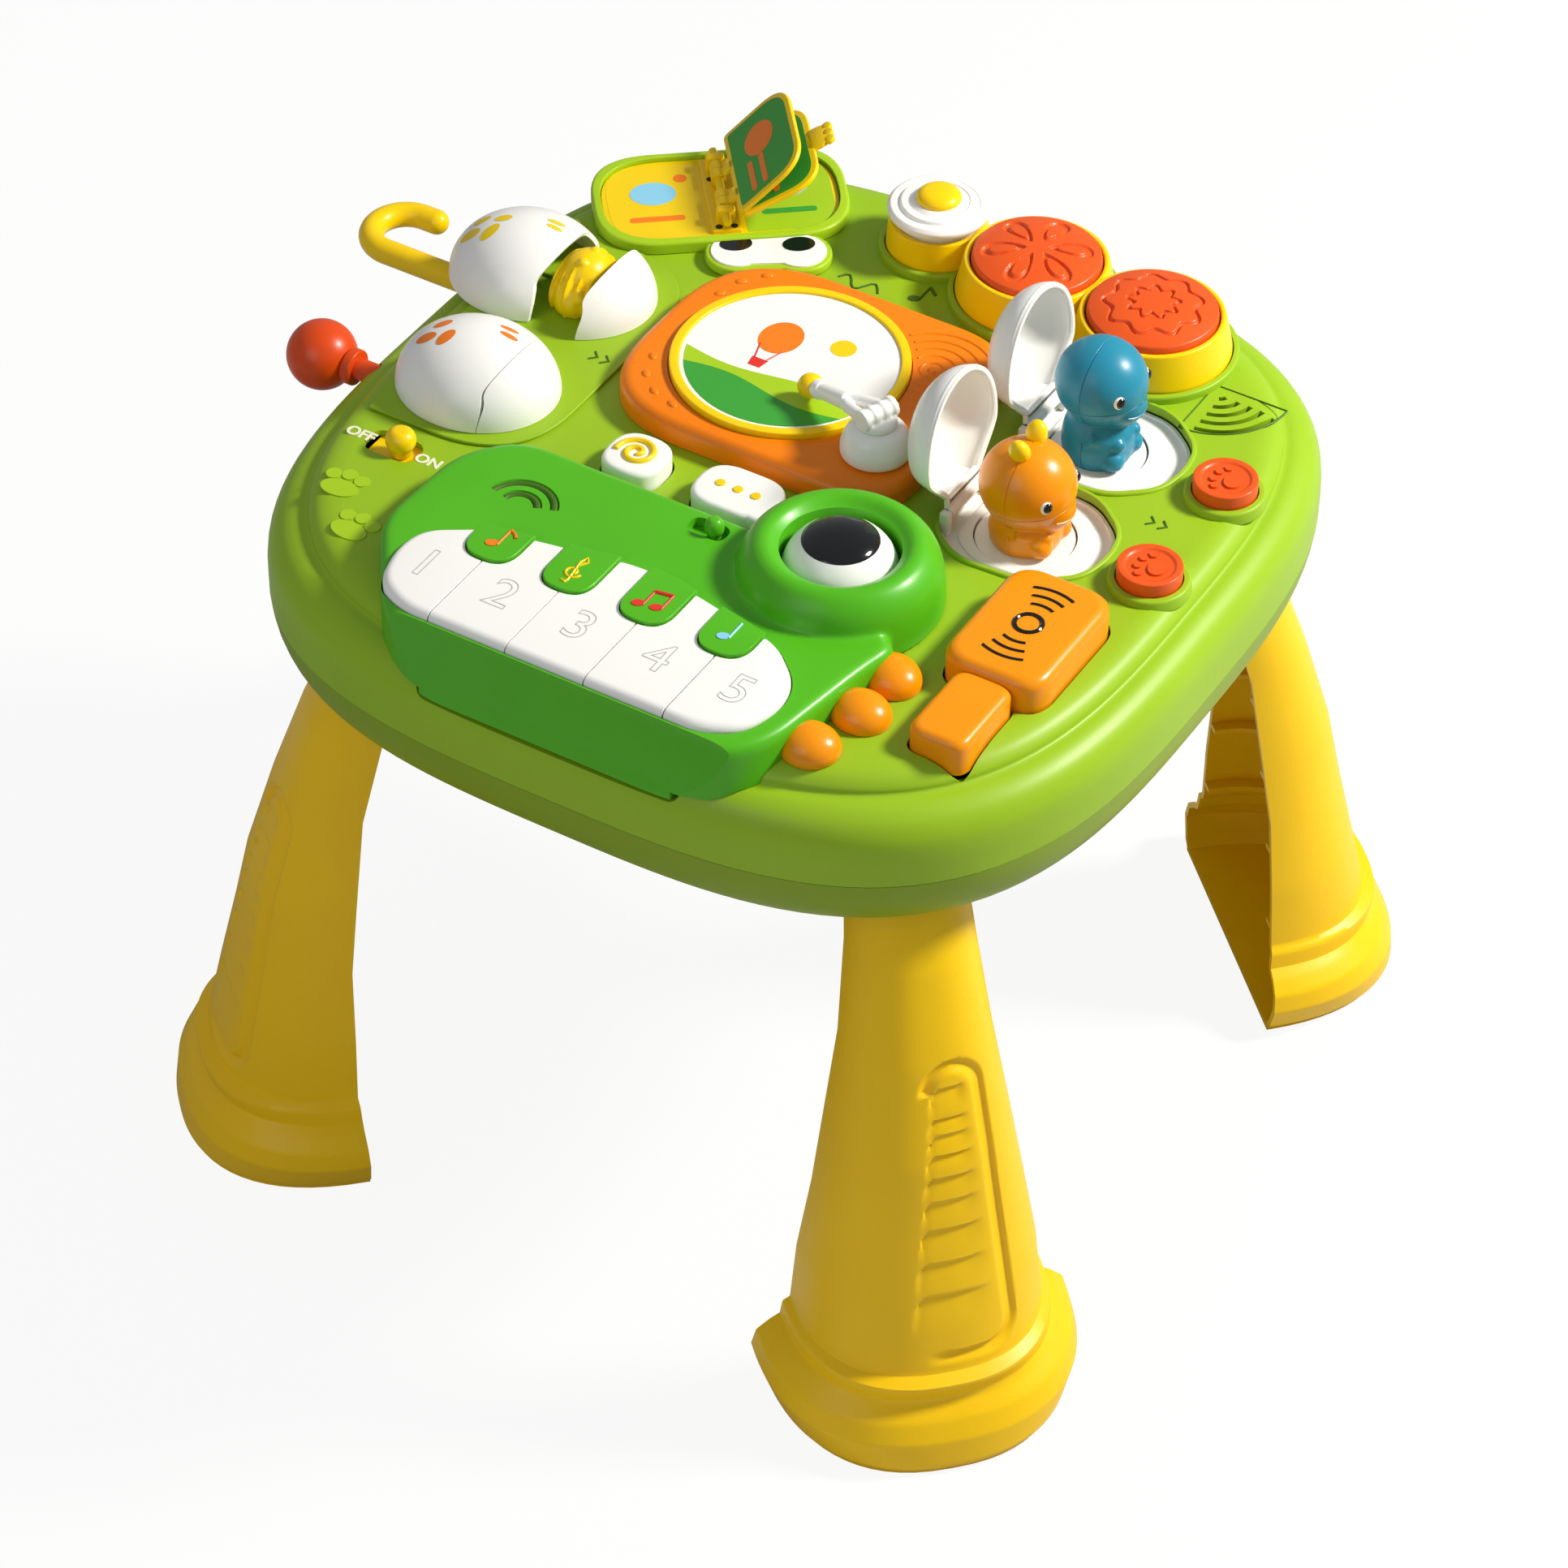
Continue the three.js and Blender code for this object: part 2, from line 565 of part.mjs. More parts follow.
function crocodileClaw() {
  const { spreadX, spreadY } = clawPlaces;
  const low = cover.top + gap;
  const domes = spreadX.map((x, i) =>
    ball(claws.radius, x, spreadY[i], low, [1, 1, claws.squash]));
  const bars = spreadX.slice(1).map((x, i) => {
    const from = new THREE.Vector3(spreadX[i], spreadY[i], low);
    const to = new THREE.Vector3(x, spreadY[i + 1], low);
    return bar(claws.bar, from, to, 8);
  });
  const under = coverBlock(gap);
  const flank = prism(crocOutline(), croc.chin, croc.top + overrun, gap);
  return cut(joined([...domes, ...bars]), [under, flank]);
}

// One strip of the mouth for each key
function keyStrip(index, clearance) {
  const left = index === 0 ? mouth.left - overrun : keys.first + (index - 1) * keys.pitch + clearance;
  const last = index === keys.count - 1;
  const right = last ? mouth.left + mouth.width + overrun : keys.first + index * keys.pitch - clearance;
  const back = mouth.front + mouth.depth + overrun;
  return box(left, right, mouth.front - overrun, back, cover.top, keys.top + overrun);
}

function noteOutline(index) {
  const x = keys.first + index * keys.pitch - keys.noteShift;
  const half = notes.width / 2;
  const back = mouth.front + mouth.depth + overrun;
  const corners = [overrun, half, half, overrun];
  return rounded([[x - half, back], [x - half, notes.front], [x + half, notes.front], [x + half, back]], corners);
}

function pianoKey(index) {
  const bed = prism(mouthOutline(), keys.bottom, keys.top, -keys.gap, keys.soft);
  const cuts = [];
  for (let i = 0; i < notes.count; i++) {
    cuts.push(prism(noteOutline(i), cover.top, keys.top + overrun, keys.gap));
  }
  return cut(bed.intersect(keyStrip(index, gap)), cuts);
}

function noteButton(index) {
  const bed = prism(mouthOutline(), keys.bottom, notes.top, -keys.gap, notes.soft);
  return bed.intersect(prism(noteOutline(index), keys.bottom - overrun, notes.top + overrun));
}

// A slide switch's knob: a rounded button on a short neck
function knobHead(radius, low, height, x, y) {
  const skin = knobShares.map(([across, rise]) => [across * radius, low + rise * height]);
  return turned([[0, low], ...skin, [0, low + height]], x, y, 18);
}

function modeKnobBody() {
  const low = croc.top - modeSlot.depth + gap;
  return knobHead(modeKnob.radius, low, modeKnob.height, modeSlot.x + modeKnob.start, modeSlot.y);
}

function powerOutline() {
  return roundedBox(powerSlot.x, powerSlot.y, powerSlot.length, powerSlot.width, powerSlot.width / 2);
}

function powerKnobBody() {
  const x = powerSlot.x + powerKnob.start;
  const high = cover.top - wall - gap;
  const outline = roundedBox(x, powerSlot.y, powerKnob.flangeLength, powerKnob.flangeWidth, powerKnob.stem);
  const flange = prism(outline, high - powerKnob.flange, high);
  const neck = pillar(powerKnob.stem, high - powerKnob.flange, cover.top, x, powerSlot.y, 16);
  const top = knobHead(powerKnob.radius, cover.top - wall, powerKnob.height + wall, x, powerSlot.y);
  return joined([flange, neck, top]);
}

// Press buttons

function spiralOutline() {
  const { x, y, radius } = spiral;
  return rounded(
    [[x - radius, y - radius], [x + radius, y - radius], [x + radius, y + radius], [x - radius, y + radius]],
    radius,
  );
}

function speechOutline() {
  const { x, y, length, width, corner } = speech;
  return roundedBox(x, y, length, width, corner);
}

function soundOutlines() {
  return [
    roundedBox(sound.x, sound.y, sound.width, sound.length, sound.corner),
    roundedBox(soundTail.x, soundTail.y, soundTail.width, soundTail.length, soundTail.corner),
  ];
}

function pressButton(outline, rise, soft) {
  return prism(outline, cover.top - plunger, cover.top + rise, 0, soft);
}

function speechButton() {
  const tail = roundedBox(
    speech.x + speechTail.x, speech.y + speechTail.y, speechTail.length, speechTail.width, speechTail.width / 2,
  );
  const lip = prism(tail, cover.top + 2 * runningGap + wall, cover.top + speech.rise, 0, speech.soft);
  return pressButton(speechOutline(), speech.rise, speech.soft).add(lip);
}

function pawButton(y) {
  const low = cover.top - plunger;
  const high = cover.top + paw.rise;
  const { radius, soft } = paw;
  const { width, slope, dish } = pawRim;
  const profile = [
    [0, low], [radius, low], [radius, high - soft], [radius - soft, high], [radius - width, high],
    [radius - width - slope, high - dish], [0, high - dish],
  ];
  return turned(profile, paw.x, y, 26);
}

function soundPad() {
  const [bodyOutline, tailOutline] = soundOutlines();
  const body = prism(bodyOutline, cover.top - plunger, cover.top + sound.rise, 0, sound.soft);
  const tail = prism(tailOutline, cover.top - plunger, cover.top + soundTail.rise, 0, soundTail.soft);
  return body.add(tail);
}

// Hatching figures

function cupOutline(y) {
  return rounded(fromShares(cupShares, cup.left, y, cup.length, cup.halfWidth), cup.corner);
}

function eggCup(y) {
  const low = cup.floor - cupWall.floor;
  const outer = prism(cupOutline(y), low, cover.top - cupWall.lipDrop);
  const inner = prism(cupOutline(y), cup.floor, cover.top + overrun, -cupWall.side);
  const x = y === cupY.back ? bluePet.x : orangePet.x;
  const petY = y === cupY.back ? bluePet.y : orangePet.y;
  const hole = pillar(platform.radius + runningGap, low - overrun, cup.floor + overrun, x, petY, 24);
  const bowl = cut(outer, [inner, hole]);
  const ends = [-1, 1].map((side) => {
    const near = y + side * (lidKnuckle.length / 2 + gap);
    const far = near + side * lug.thickness;
    const high = lid.height + lug.rise;
    return box(
      lid.hinge - lug.width / 2, lid.hinge + lug.width / 2, Math.min(near, far), Math.max(near, far),
      cup.floor - gap, high,
    ).intersect(prism(cupOutline(y), low, high + overrun));
  });
  const pivots = [-1, 1].map((side) => {
    const inner = lidKnuckle.length / 2;
    const from = new THREE.Vector3(lid.hinge, y + side * (inner + lug.thickness), lid.height);
    const to = from.clone().setY(y + side * (inner - lug.thickness));
    return bar(lidKnuckle.radius / 2, from, to, 10);
  });
  return joined([bowl, ...ends, ...pivots]);
}

// A half egg, drawn closed from its hinge: X runs to the tip, Z is the crown
function eggLid() {
  const shell = (inset) => {
    const geometry = new THREE.SphereGeometry(1, shellSides, shellRings);
    geometry.scale(lid.length - inset, lid.halfWidth - inset, lid.depth - inset);
    return solid(geometry.translate(lid.centre, 0, 0));
  };
  const size = lid.length * 2;
  const keep = box(lug.reach, size, -size, size, 0, size);
  const half = lidKnuckle.length / 2;
  const knuckle = bar(lidKnuckle.radius, new THREE.Vector3(0, -half, 0), new THREE.Vector3(0, half, 0), 16);
  const ends = [-1, 1].map((side) => {
    const from = new THREE.Vector3(0, side * lidKnuckle.length, 0);
    const to = new THREE.Vector3(0, side * (half - lug.thickness - gap), 0);
    return bar(lidKnuckle.radius / 2 + gap, from, to, 10);
  });
  const bridge = box(0, lug.reach + wall, -half, half, 0, lid.wall);
  const hollow = shell(lid.wall).subtract(box(-size, lug.reach + lid.wall, -size, size, -size, size));
  return cut(shell(0).intersect(keep).subtract(hollow).add(knuckle).add(bridge), ends);
}

// A sitting hatchling that faces the table's right side, on its lifting platform
function hatchling(pet) {
  const floor = cup.floor;
  const skin = petBodyShares.map(([x, rise]) => [x * pet.body, floor + rise * pet.bodyHeight]);
  const foot = floor - platform.thickness - platform.drop;
  const plinth = [
    [0, foot], [platform.stem, foot], [platform.stem, floor - platform.thickness],
    [platform.radius, floor - platform.thickness], [platform.radius, floor],
  ];
  const body = turned([...plinth, ...skin, [0, floor + pet.bodyHeight]], 0, 0, 18);
  const head = ball(pet.head, 0, 0, floor + pet.neck, headShares);
  const noseX = pet.head - snout.radius * snout.sinkShare;
  const nose = ball(snout.radius, noseX, 0, floor + pet.neck - pet.head * snout.dropShare, round, 10);
  const limbs = [-1, 1].flatMap((side) => [
    ball(limb.radius, limb.forward, side * limb.apart, floor + limb.footLift, round, 8),
    ball(limb.radius, limb.forward, side * limb.apart, floor + pet.bodyHeight * limb.handShare, round, 8),
  ]);
  const crown = floor + pet.neck + pet.head * headShares[2];
  const spikes = pet.spikes > 0 ? [-1, 1].map((side) =>
    ball(spike.radius, -spike.back, side * spike.apart, crown + pet.spikes - spike.radius, round, 8)) : [];
  return joined([body, head, nose, ...limbs, ...spikes]);
}

// Drums

function drumCup(one) {
  const { radius, taper, rim } = one;
  const low = cover.top + gap;
  const inner = radius - drum.wall - taper;
  const bore = drum.stem + runningGap;
  const profile = [
    [bore, low], [radius, low], [radius - taper, rim], [inner, rim],
    [inner, low + drum.bottom], [bore, low + drum.bottom], [bore, low],
  ];
  return cut(turned(profile, 0, 0, 26), neighbourBlocks(one));
}

// Where two drums stand close, the larger cup has a flat side
function neighbourBlocks(one) {
  const size = 2 * one.radius;
  return drums.filter((other) => other !== one).map((other) => {
    const distance = Math.hypot(other.x - one.x, other.y - one.y);
    const near = Math.max(distance / 2, distance - other.radius) - gap;
    const block = new THREE.BoxGeometry(size, size * 2, size * 2).translate(near + one.radius, 0, cover.top);
    return solid(block.rotateZ(Math.atan2(other.y - one.y, other.x - one.x)));
  });
}

function drumPad({ name, radius, taper, rim }) {
  const edge = radius - drum.wall - taper - drumFit.gap;
  const low = rim - drumFit.wall - drumFit.drop;
  const foot = cover.top - plunger;
  const stem = [[0, foot], [drum.stem, foot], [drum.stem, low], [edge, low]];
  const dome = padShares.map(([across, rise]) => [across * edge, rim + rise * drum.crown]);
  const crown = name === "left" ? friedEggCrown(edge, rim) : [[edge, rim - gap], ...dome];
  return turned([...stem, ...crown], 0, 0, 26);
}

// The left drum's pad is a fried egg with a raised yolk
function friedEggCrown(edge, rim) {
  const { radius, thickness, yolk, yolkRise } = friedEgg;
  const low = rim + gap + drumFit.wall;
  const high = low + thickness;
  return [
    [edge, low], [radius, low], [radius, low + thickness / 2], [radius * friedEggShares.edge, high],
    [yolk, high], [yolk * friedEggShares.yolk, high + yolkRise], [0, high + yolkRise],
  ];
}

// Turntable

function turntableBase() {
  const { left, right, front, back, top, soft } = deck;
  const { frontLeft, frontRight, backRight, backLeft } = deckCorners;
  const corners = [frontLeft, frontRight, backRight, backLeft];
  const outline = rounded([[left, front], [right, front], [right, back], [left, back]], corners);
  const plinth = prism(outline, cover.top + gap, top, 0, soft);
  const well = pillar(disc.radius + runningGap, disc.floor - runningGap, top + overrun, disc.x, disc.y, 34);
  const bore = pillar(disc.hub + runningGap, cover.top - overrun, top + overrun, disc.x, disc.y, 16);
  const pivot = pillar(arm.pin + gap, cover.top + wall, top + overrun, post.x, post.y, 16);
  return cut(plinth, [well, bore, pivot]);
}

function turntableDisc() {
  const { radius, top, floor, rim, inset, hub, hubDepth } = disc;
  const profile = [
    [0, floor - hubDepth], [hub, floor - hubDepth], [hub, floor], [radius, floor], [radius, top - inset],
    [radius - inset, top], [radius - rim, top], [radius - rim, top - inset], [0, top - inset],
  ];
  return turned(profile, 0, 0, 34);
}

function tonearmPost() {
  const low = deck.top + gap;
  const { radius, top, soft } = post;
  const shell = [
    [0, low], [radius, low], [radius, low + soft], [radius - soft, top - soft],
    [radius - 2 * soft, top], [0, top],
  ];
  const bore = pillar(arm.pin + gap, top - arm.pinDepth - gap, top + overrun, post.x, post.y, 12);
  return turned(shell, post.x, post.y, 20).subtract(bore);
}

// The arm turns on the post and reaches over the disc, drawn from its own pivot
function tonearmBody() {
  const low = post.top + gap;
  const high = low + arm.hubHeight;
  const hub = turned([
    [0, low - arm.pinDepth], [arm.pin, low - arm.pinDepth], [arm.pin, low], [arm.hub, low],
    [arm.hub, high - wall], [arm.hub - wall, high], [0, high],
  ], 0, 0, 16);
  const tip = new THREE.Vector3(armTip.x - post.x, armTip.y - post.y, armTip.height);
  const root = new THREE.Vector3(0, 0, low + arm.rootRise);
  return joined([hub, bar(arm.radius, root, tip, 12), ball(armTip.radius, tip.x, tip.y, tip.z)]);
}

// Book

function bookOutline() {
  return roundedBox(0, 0, book.length, book.width, book.corner);
}

function bookTray() {
  const well = prism(bookOutline(), bookWell.base, bookWell.rim + overrun, -bookWell.wall);
  return prism(bookOutline(), cover.top + gap, bookWell.rim, 0, bookBoard.soft).subtract(well);
}

function bookBoardBody() {
  const low = bookWell.base + gap;
  const sheet = prism(bookOutline(), low, bookBoard.top, -bookWell.wall - gap, bookBoard.soft);
  const lugs = [-1, 1].map((side) => {
    const near = side * bookLug.reach;
    const far = side * (bookLug.reach + bookLug.thickness);
    const across = bookLug.width / 2;
    return box(-across, across, Math.min(near, far), Math.max(near, far), low + gap, bookLug.top);
  });
  const from = new THREE.Vector3(0, -book.width, pin.height);
  const hole = bar(pin.radius + gap, from, from.clone().setY(book.width));
  return joined([sheet, ...lugs]).subtract(hole);
}

function bookPin() {
  const half = pin.length / 2;
  return bar(pin.radius, new THREE.Vector3(0, -half, pin.height), new THREE.Vector3(0, half, pin.height), 12);
}

// A leaf drawn flat from its hinge line, with two ears that ring the pin
function bookPage(places, withTab) {
  const { start, length, halfWidth, thickness, corner } = leaf;
  const half = thickness / 2;
  const end = start + length;
  const outline = rounded(
    [[start, -halfWidth], [end, -halfWidth], [end, halfWidth], [start, halfWidth]], corner,
  );
  const ears = places.map((y) => {
    const from = new THREE.Vector3(0, y, 0);
    const to = new THREE.Vector3(0, y + leafEar.width, 0);
    return bar(leafEar.radius, from, to, 16).add(box(0, start + corner, y, to.y, -half, half));
  });
  const tabOutline = roundedBox(end, 0, leafTab.length * 2, leafTab.width, leafTab.corner);
  const tabs = withTab ? [prism(tabOutline, -half, half)] : [];
  const hole = bar(leafEar.bore, new THREE.Vector3(0, -halfWidth, 0), new THREE.Vector3(0, halfWidth, 0), 14);
  return joined([prism(outline, -half, half), ...ears, ...tabs]).subtract(hole);
}

function bookEyes() {
  const low = cover.top + gap;
  const { spreadX, spreadY, radius, rise, soft } = frogEyes;
  const high = low + rise;
  const profile = [[0, low], [radius, low], [radius, high - soft], [radius - soft, high], [0, high]];
  const domes = spreadX.map((x, i) => turned(profile, x, spreadY[i], 20));
  const [left, right] = spreadX;
  const bridge = box(left, right, spreadY[0] - radius / 2, spreadY[0] + radius, low, low + rise / 2);
  const tray = prism(bookOutline(), cover.top - overrun, bookWell.rim + overrun, runningGap);
  return joined([...domes, bridge]).subtract(tray);
}

// Sliding eggs

function eggDeckBody() {
  const low = cover.top + gap;
  const high = low + eggDeck.thickness;
  const { right, front, back, corner } = eggDeck;
  const edge = casing.halfWidth - cover.rimWidth - eggDeck.inset;
  const top = squared(turnedGeometry([[0, low], [edge, low], [edge, high], [0, high]], casing.sides));
  const left = -casing.halfWidth;
  const outline = rounded([[left - corner, front], [right, front], [right, back], [left - corner, back]], corner);
  const tray = prism(bookOutlineInPlace(), low - overrun, high + overrun, runningGap);
  const sheet = prism(outline, low - gap, high + gap).intersect(top);
  return cut(sheet, [...sliderSlots(low - overrun, high + overrun), tray]);
}

function bookOutlineInPlace() {
  const points = bookOutline().getPoints(5);
  const turn = new THREE.Vector2(0, 0);
  return new THREE.Shape(points.map((point) => {
    const moved = point.clone().rotateAround(turn, book.turn);
    return moved.add(new THREE.Vector2(book.x, book.y));
  }));
}

// The half egg shell, from its own middle, with its flat rim at height zero
function eggShell() {
  const shell = (inset) => {
    const geometry = new THREE.SphereGeometry(1, shellSides, shellRings).rotateX(quarter);
    geometry.scale(egg.halfLength - inset, egg.halfWidth - inset, egg.height - inset);
    return solid(geometry);
  };
  const size = egg.height * 2;
  return shell(0).subtract(shell(egg.wall)).intersect(box(-size, size, -size, size, 0, size));
}

// The side of the egg left or right of its zigzag crack
function crackSide(side) {
  const crackX = eggOpening.crack - egg.x;
  const clearance = (side * gap) / 2;
  const edge = crackShares.map(([x, rise]) => [
    crackX + x * egg.halfWidth * 2 + clearance, rise * (egg.height + overrun),
  ]);
  const far = side * (egg.halfLength * 2 + crackReach);
  const shape = new THREE.Shape();
  shape.moveTo(far, -overrun);
  shape.lineTo(edge[0][0], -overrun);
  edge.forEach(([x, z]) => shape.lineTo(x, z));
  shape.lineTo(far, edge[edge.length - 1][1]);
  shape.closePath();
  const geometry = new THREE.ExtrudeGeometry(shape, { depth: egg.halfWidth * 4, bevelEnabled: false });
  return solid(geometry.rotateX(quarter).translate(0, egg.halfWidth * 2, 0));
}

function leftShell() {
  const rib = box(
    tab.x - egg.x - tab.thickness / 2 - gap - tab.rib, tab.x - egg.x - tab.thickness / 2 - gap,
    -egg.halfWidth, egg.halfWidth, gap, egg.height,
  );
  const geometry = new THREE.SphereGeometry(1, shellSides, shellRings).rotateX(quarter);
  geometry.scale(egg.halfLength - gap, egg.halfWidth - gap, egg.height - gap);
  return eggShell().intersect(crackSide(-1)).add(rib.intersect(solid(geometry)));
}

function rightShell() {
  return eggShell().intersect(crackSide(1));
}

// The upright tab that carries the shell, from the rod up through the cover
function sliderTab(y) {
  const half = tab.thickness / 2;
  const across = tab.width / 2;
  return box(tab.x - half, tab.x + half, y - across, y + across, rods.height - rods.hook, tab.top);
}

function hookHandle() {
  const { height, hook } = rods;
  const { radius, steps, pathSteps } = hookBend;
  const y = egg.backY;
  const points = [new THREE.Vector3(tab.x, y, height), new THREE.Vector3(-casing.halfWidth, y, height)];
  for (let i = 0; i <= steps; i++) {
    const angle = -quarter - (i / steps) * Math.PI;
    const x = hookBend.x + eggOpening.travel + radius * Math.cos(angle);
    points.push(new THREE.Vector3(x, y + radius + radius * Math.sin(angle), height));
  }
  const end = new THREE.Vector3(hookBend.endX + eggOpening.travel, y + 2 * radius, height);
  points.push(end);
  const extrudePath = new THREE.CatmullRomCurve3(points);
  const options = { steps: pathSteps, curveSegments: 4, extrudePath };
  const geometry = new THREE.ExtrudeGeometry(circle(0, 0, hook), options);
  return joined([solid(geometry), ball(hook, end.x, end.y, end.z), sliderTab(y)]);
}

function ballHandle() {
  const y = egg.frontY;
  const root = new THREE.Vector3(tab.x, y, rods.height);
  const grip = new THREE.Vector3(rods.ballX, y, rods.height);
  return joined([bar(rods.ball, root, grip, 16), ball(rods.ballRadius, grip.x, grip.y, grip.z), sliderTab(y)]);
}

function chickBody() {
  const skin = chickShares.map(([x, rise]) => [x * chick.radius, rise * chick.height]);
  return turned([[0, 0], ...skin], 0, 0, 20);
}

// The assembly

const group = new THREE.Group();

function place(name, body, { color, roughness, metalness }, x = 0, y = 0, z = 0) {
  const { vertProperties, triVerts } = body.getMesh();
  const geometry = new THREE.BufferGeometry();
  geometry.setAttribute("position", new THREE.BufferAttribute(new Float32Array(vertProperties), 3));
  geometry.setIndex(new THREE.BufferAttribute(new Uint32Array(triVerts), 1));
  geometry.computeVertexNormals();
  const mesh = new THREE.Mesh(geometry, new THREE.MeshStandardMaterial({ color, roughness, metalness }));
  mesh.name = name;
  mesh.position.set(x, y, z);
  group.add(mesh);
  return mesh;
}

function buildCasing() {
  place("top_cover", topCover(), lime);
  place("bottom_tray", bottomTray(), lime);
  const names = ["leg_front_left", "leg_front_right", "leg_back_right", "leg_back_left"];
  legAngles().forEach((angle, i) => {
    place(names[i], legBody(), yellow).rotation.z = angle;
  });
  place("battery_box", batteryBox(), dark);
  place("battery_door", batteryDoor(), lime);
  place("circuit_board", circuitBoard(), circuitGreen);
  place("speaker", speakerBody(), steel);
}

function buildPiano() {
  place("crocodile_head", crocodileHead(), grass);
  place("crocodile_eyeball", crocodileEyeball(), white);
  place("crocodile_claw", crocodileClaw(), orange);
  for (let i = 0; i < keys.count; i++) place("piano_key_" + (i + 1), pianoKey(i), white);
  for (let i = 0; i < notes.count; i++) place("note_button_" + (i + 1), noteButton(i), grass);
  place("mode_knob", modeKnobBody(), grass);
}

function buildButtons() {
  place("power_knob", powerKnobBody(), yellow);
  place("spiral_button", pressButton(spiralOutline(), spiral.rise, spiral.soft), white);
  place("speech_button", speechButton(), white);
  place("paw_button_back", pawButton(paw.backY), coral);
  place("paw_button_front", pawButton(paw.frontY), coral);
  place("sound_pad", soundPad(), orange);
}

function buildHatchlings() {
  for (const side of ["back", "front"]) {
    place("egg_cup_" + side, eggCup(cupY[side]), white);
    place("egg_lid_" + side, eggLid(), white, lid.hinge, cupY[side], lid.height).rotation.y = -lid.open;
  }
  place("hatchling_blue", hatchling(bluePet), blue, bluePet.x, bluePet.y);
  place("hatchling_orange", hatchling(orangePet), orange, orangePet.x, orangePet.y);
}

function buildDrums() {
  for (const one of drums) {
    place("drum_cup_" + one.name, drumCup(one), yellow, one.x, one.y);
    place("drum_pad_" + one.name, drumPad(one), one.name === "left" ? white : coral, one.x, one.y);
  }
}

function buildTurntable() {
  place("turntable_base", turntableBase(), orange);
  place("turntable_disc", turntableDisc(), white, disc.x, disc.y);
  place("tonearm_post", tonearmPost(), white);
  place("tonearm", tonearmBody(), white, post.x, post.y);
}

function buildBook() {
  const pieces = [
    place("book_tray", bookTray(), lime),
    place("book_board", bookBoardBody(), yellow),
    place("book_pin", bookPin(), yellow),
    place("book_page_1", bookPage(leafPlaces.first, false), yellow, 0, 0, pin.height),
    place("book_page_2", bookPage(leafPlaces.second, true), yellow, 0, 0, pin.height),
    place("book_eyes", bookEyes(), lime),
  ];
  pieces[3].rotation.y = -leafAngles.first;
  pieces[4].rotation.y = -leafAngles.second;
  const bookGroup = new THREE.Group();
  bookGroup.add(...pieces);
  bookGroup.rotation.z = book.turn;
  bookGroup.position.set(book.x, book.y, 0);
  group.add(bookGroup);
}

function buildEggs() {
  const rim = cover.top + 2 * gap + eggDeck.thickness;
  place("egg_deck", eggDeckBody(), lime);
  place("back_egg_shell_left", leftShell(), white, egg.x - eggOpening.travel, egg.backY, rim);
  place("back_egg_shell_right", rightShell(), white, egg.x, egg.backY, rim);
  place("front_egg_shell_left", leftShell(), white, egg.x, egg.frontY, rim);
  place("front_egg_shell_right", rightShell(), white, egg.x, egg.frontY, rim);
  place("hook_handle", hookHandle(), yellow, -eggOpening.travel);
  place("ball_handle", ballHandle(), coral);
  place("egg_chick_back", chickBody(), yellow, chick.x, egg.backY, rim);
  place("egg_chick_front", chickBody(), yellow, chick.x, egg.frontY, rim);
}

buildCasing();
buildPiano();
buildButtons();
buildHatchlings();
buildDrums();
buildTurntable();
buildBook();
buildEggs();

// The origin is the middle of the whole object's footprint, on the floor
group.updateMatrixWorld(true);
const bounds = new THREE.Box3().setFromObject(group, true);
group.position.set(-(bounds.min.x + bounds.max.x) / 2, -(bounds.min.y + bounds.max.y) / 2, -bounds.min.z);

export default group;
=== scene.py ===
import math
import bpy
import bmesh
from mathutils import Matrix, Vector


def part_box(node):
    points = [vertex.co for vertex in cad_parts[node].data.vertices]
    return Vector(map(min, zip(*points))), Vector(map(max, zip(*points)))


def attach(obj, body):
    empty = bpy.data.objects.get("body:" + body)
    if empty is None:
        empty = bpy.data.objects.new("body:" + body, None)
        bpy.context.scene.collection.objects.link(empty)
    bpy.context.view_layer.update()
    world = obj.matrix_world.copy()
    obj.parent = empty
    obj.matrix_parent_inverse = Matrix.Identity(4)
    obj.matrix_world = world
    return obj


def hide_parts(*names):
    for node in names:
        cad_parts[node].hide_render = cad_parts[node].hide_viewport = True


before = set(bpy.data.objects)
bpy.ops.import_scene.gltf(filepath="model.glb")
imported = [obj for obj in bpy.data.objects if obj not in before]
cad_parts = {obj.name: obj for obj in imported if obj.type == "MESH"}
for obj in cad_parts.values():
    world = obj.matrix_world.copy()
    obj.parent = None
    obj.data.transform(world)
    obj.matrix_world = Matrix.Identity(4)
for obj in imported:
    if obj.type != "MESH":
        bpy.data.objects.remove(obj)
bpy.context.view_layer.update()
print("frame loaded")

# Sizes are in millimetres round the middle of the table, and each finished mesh is turned to metres.
mm = 0.001
gap = 0.3
runningGap = 0.6
overrun = 6
cornerShare = 0.46
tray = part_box("bottom_tray")
tableMiddle = Vector(((tray[0].x + tray[1].x) / 2, (tray[0].y + tray[1].y) / 2, 0))


# Materials

def linear(code):
    channels = [int(code[i:i + 2], 16) / 255 for i in (1, 3, 5)]
    return tuple(c / 12.92 if c <= 0.04045 else ((c + 0.055) / 1.055) ** 2.4 for c in channels) + (1.0,)


def addNode(tree, kind, inputs=None, **settings):
    node = tree.nodes.new(kind)
    for key, value in settings.items():
        setattr(node, key, value)
    for key, value in (inputs or {}).items():
        if isinstance(value, bpy.types.NodeSocket):
            tree.links.new(value, node.inputs[key])
        else:
            node.inputs[key].default_value = value
    return node


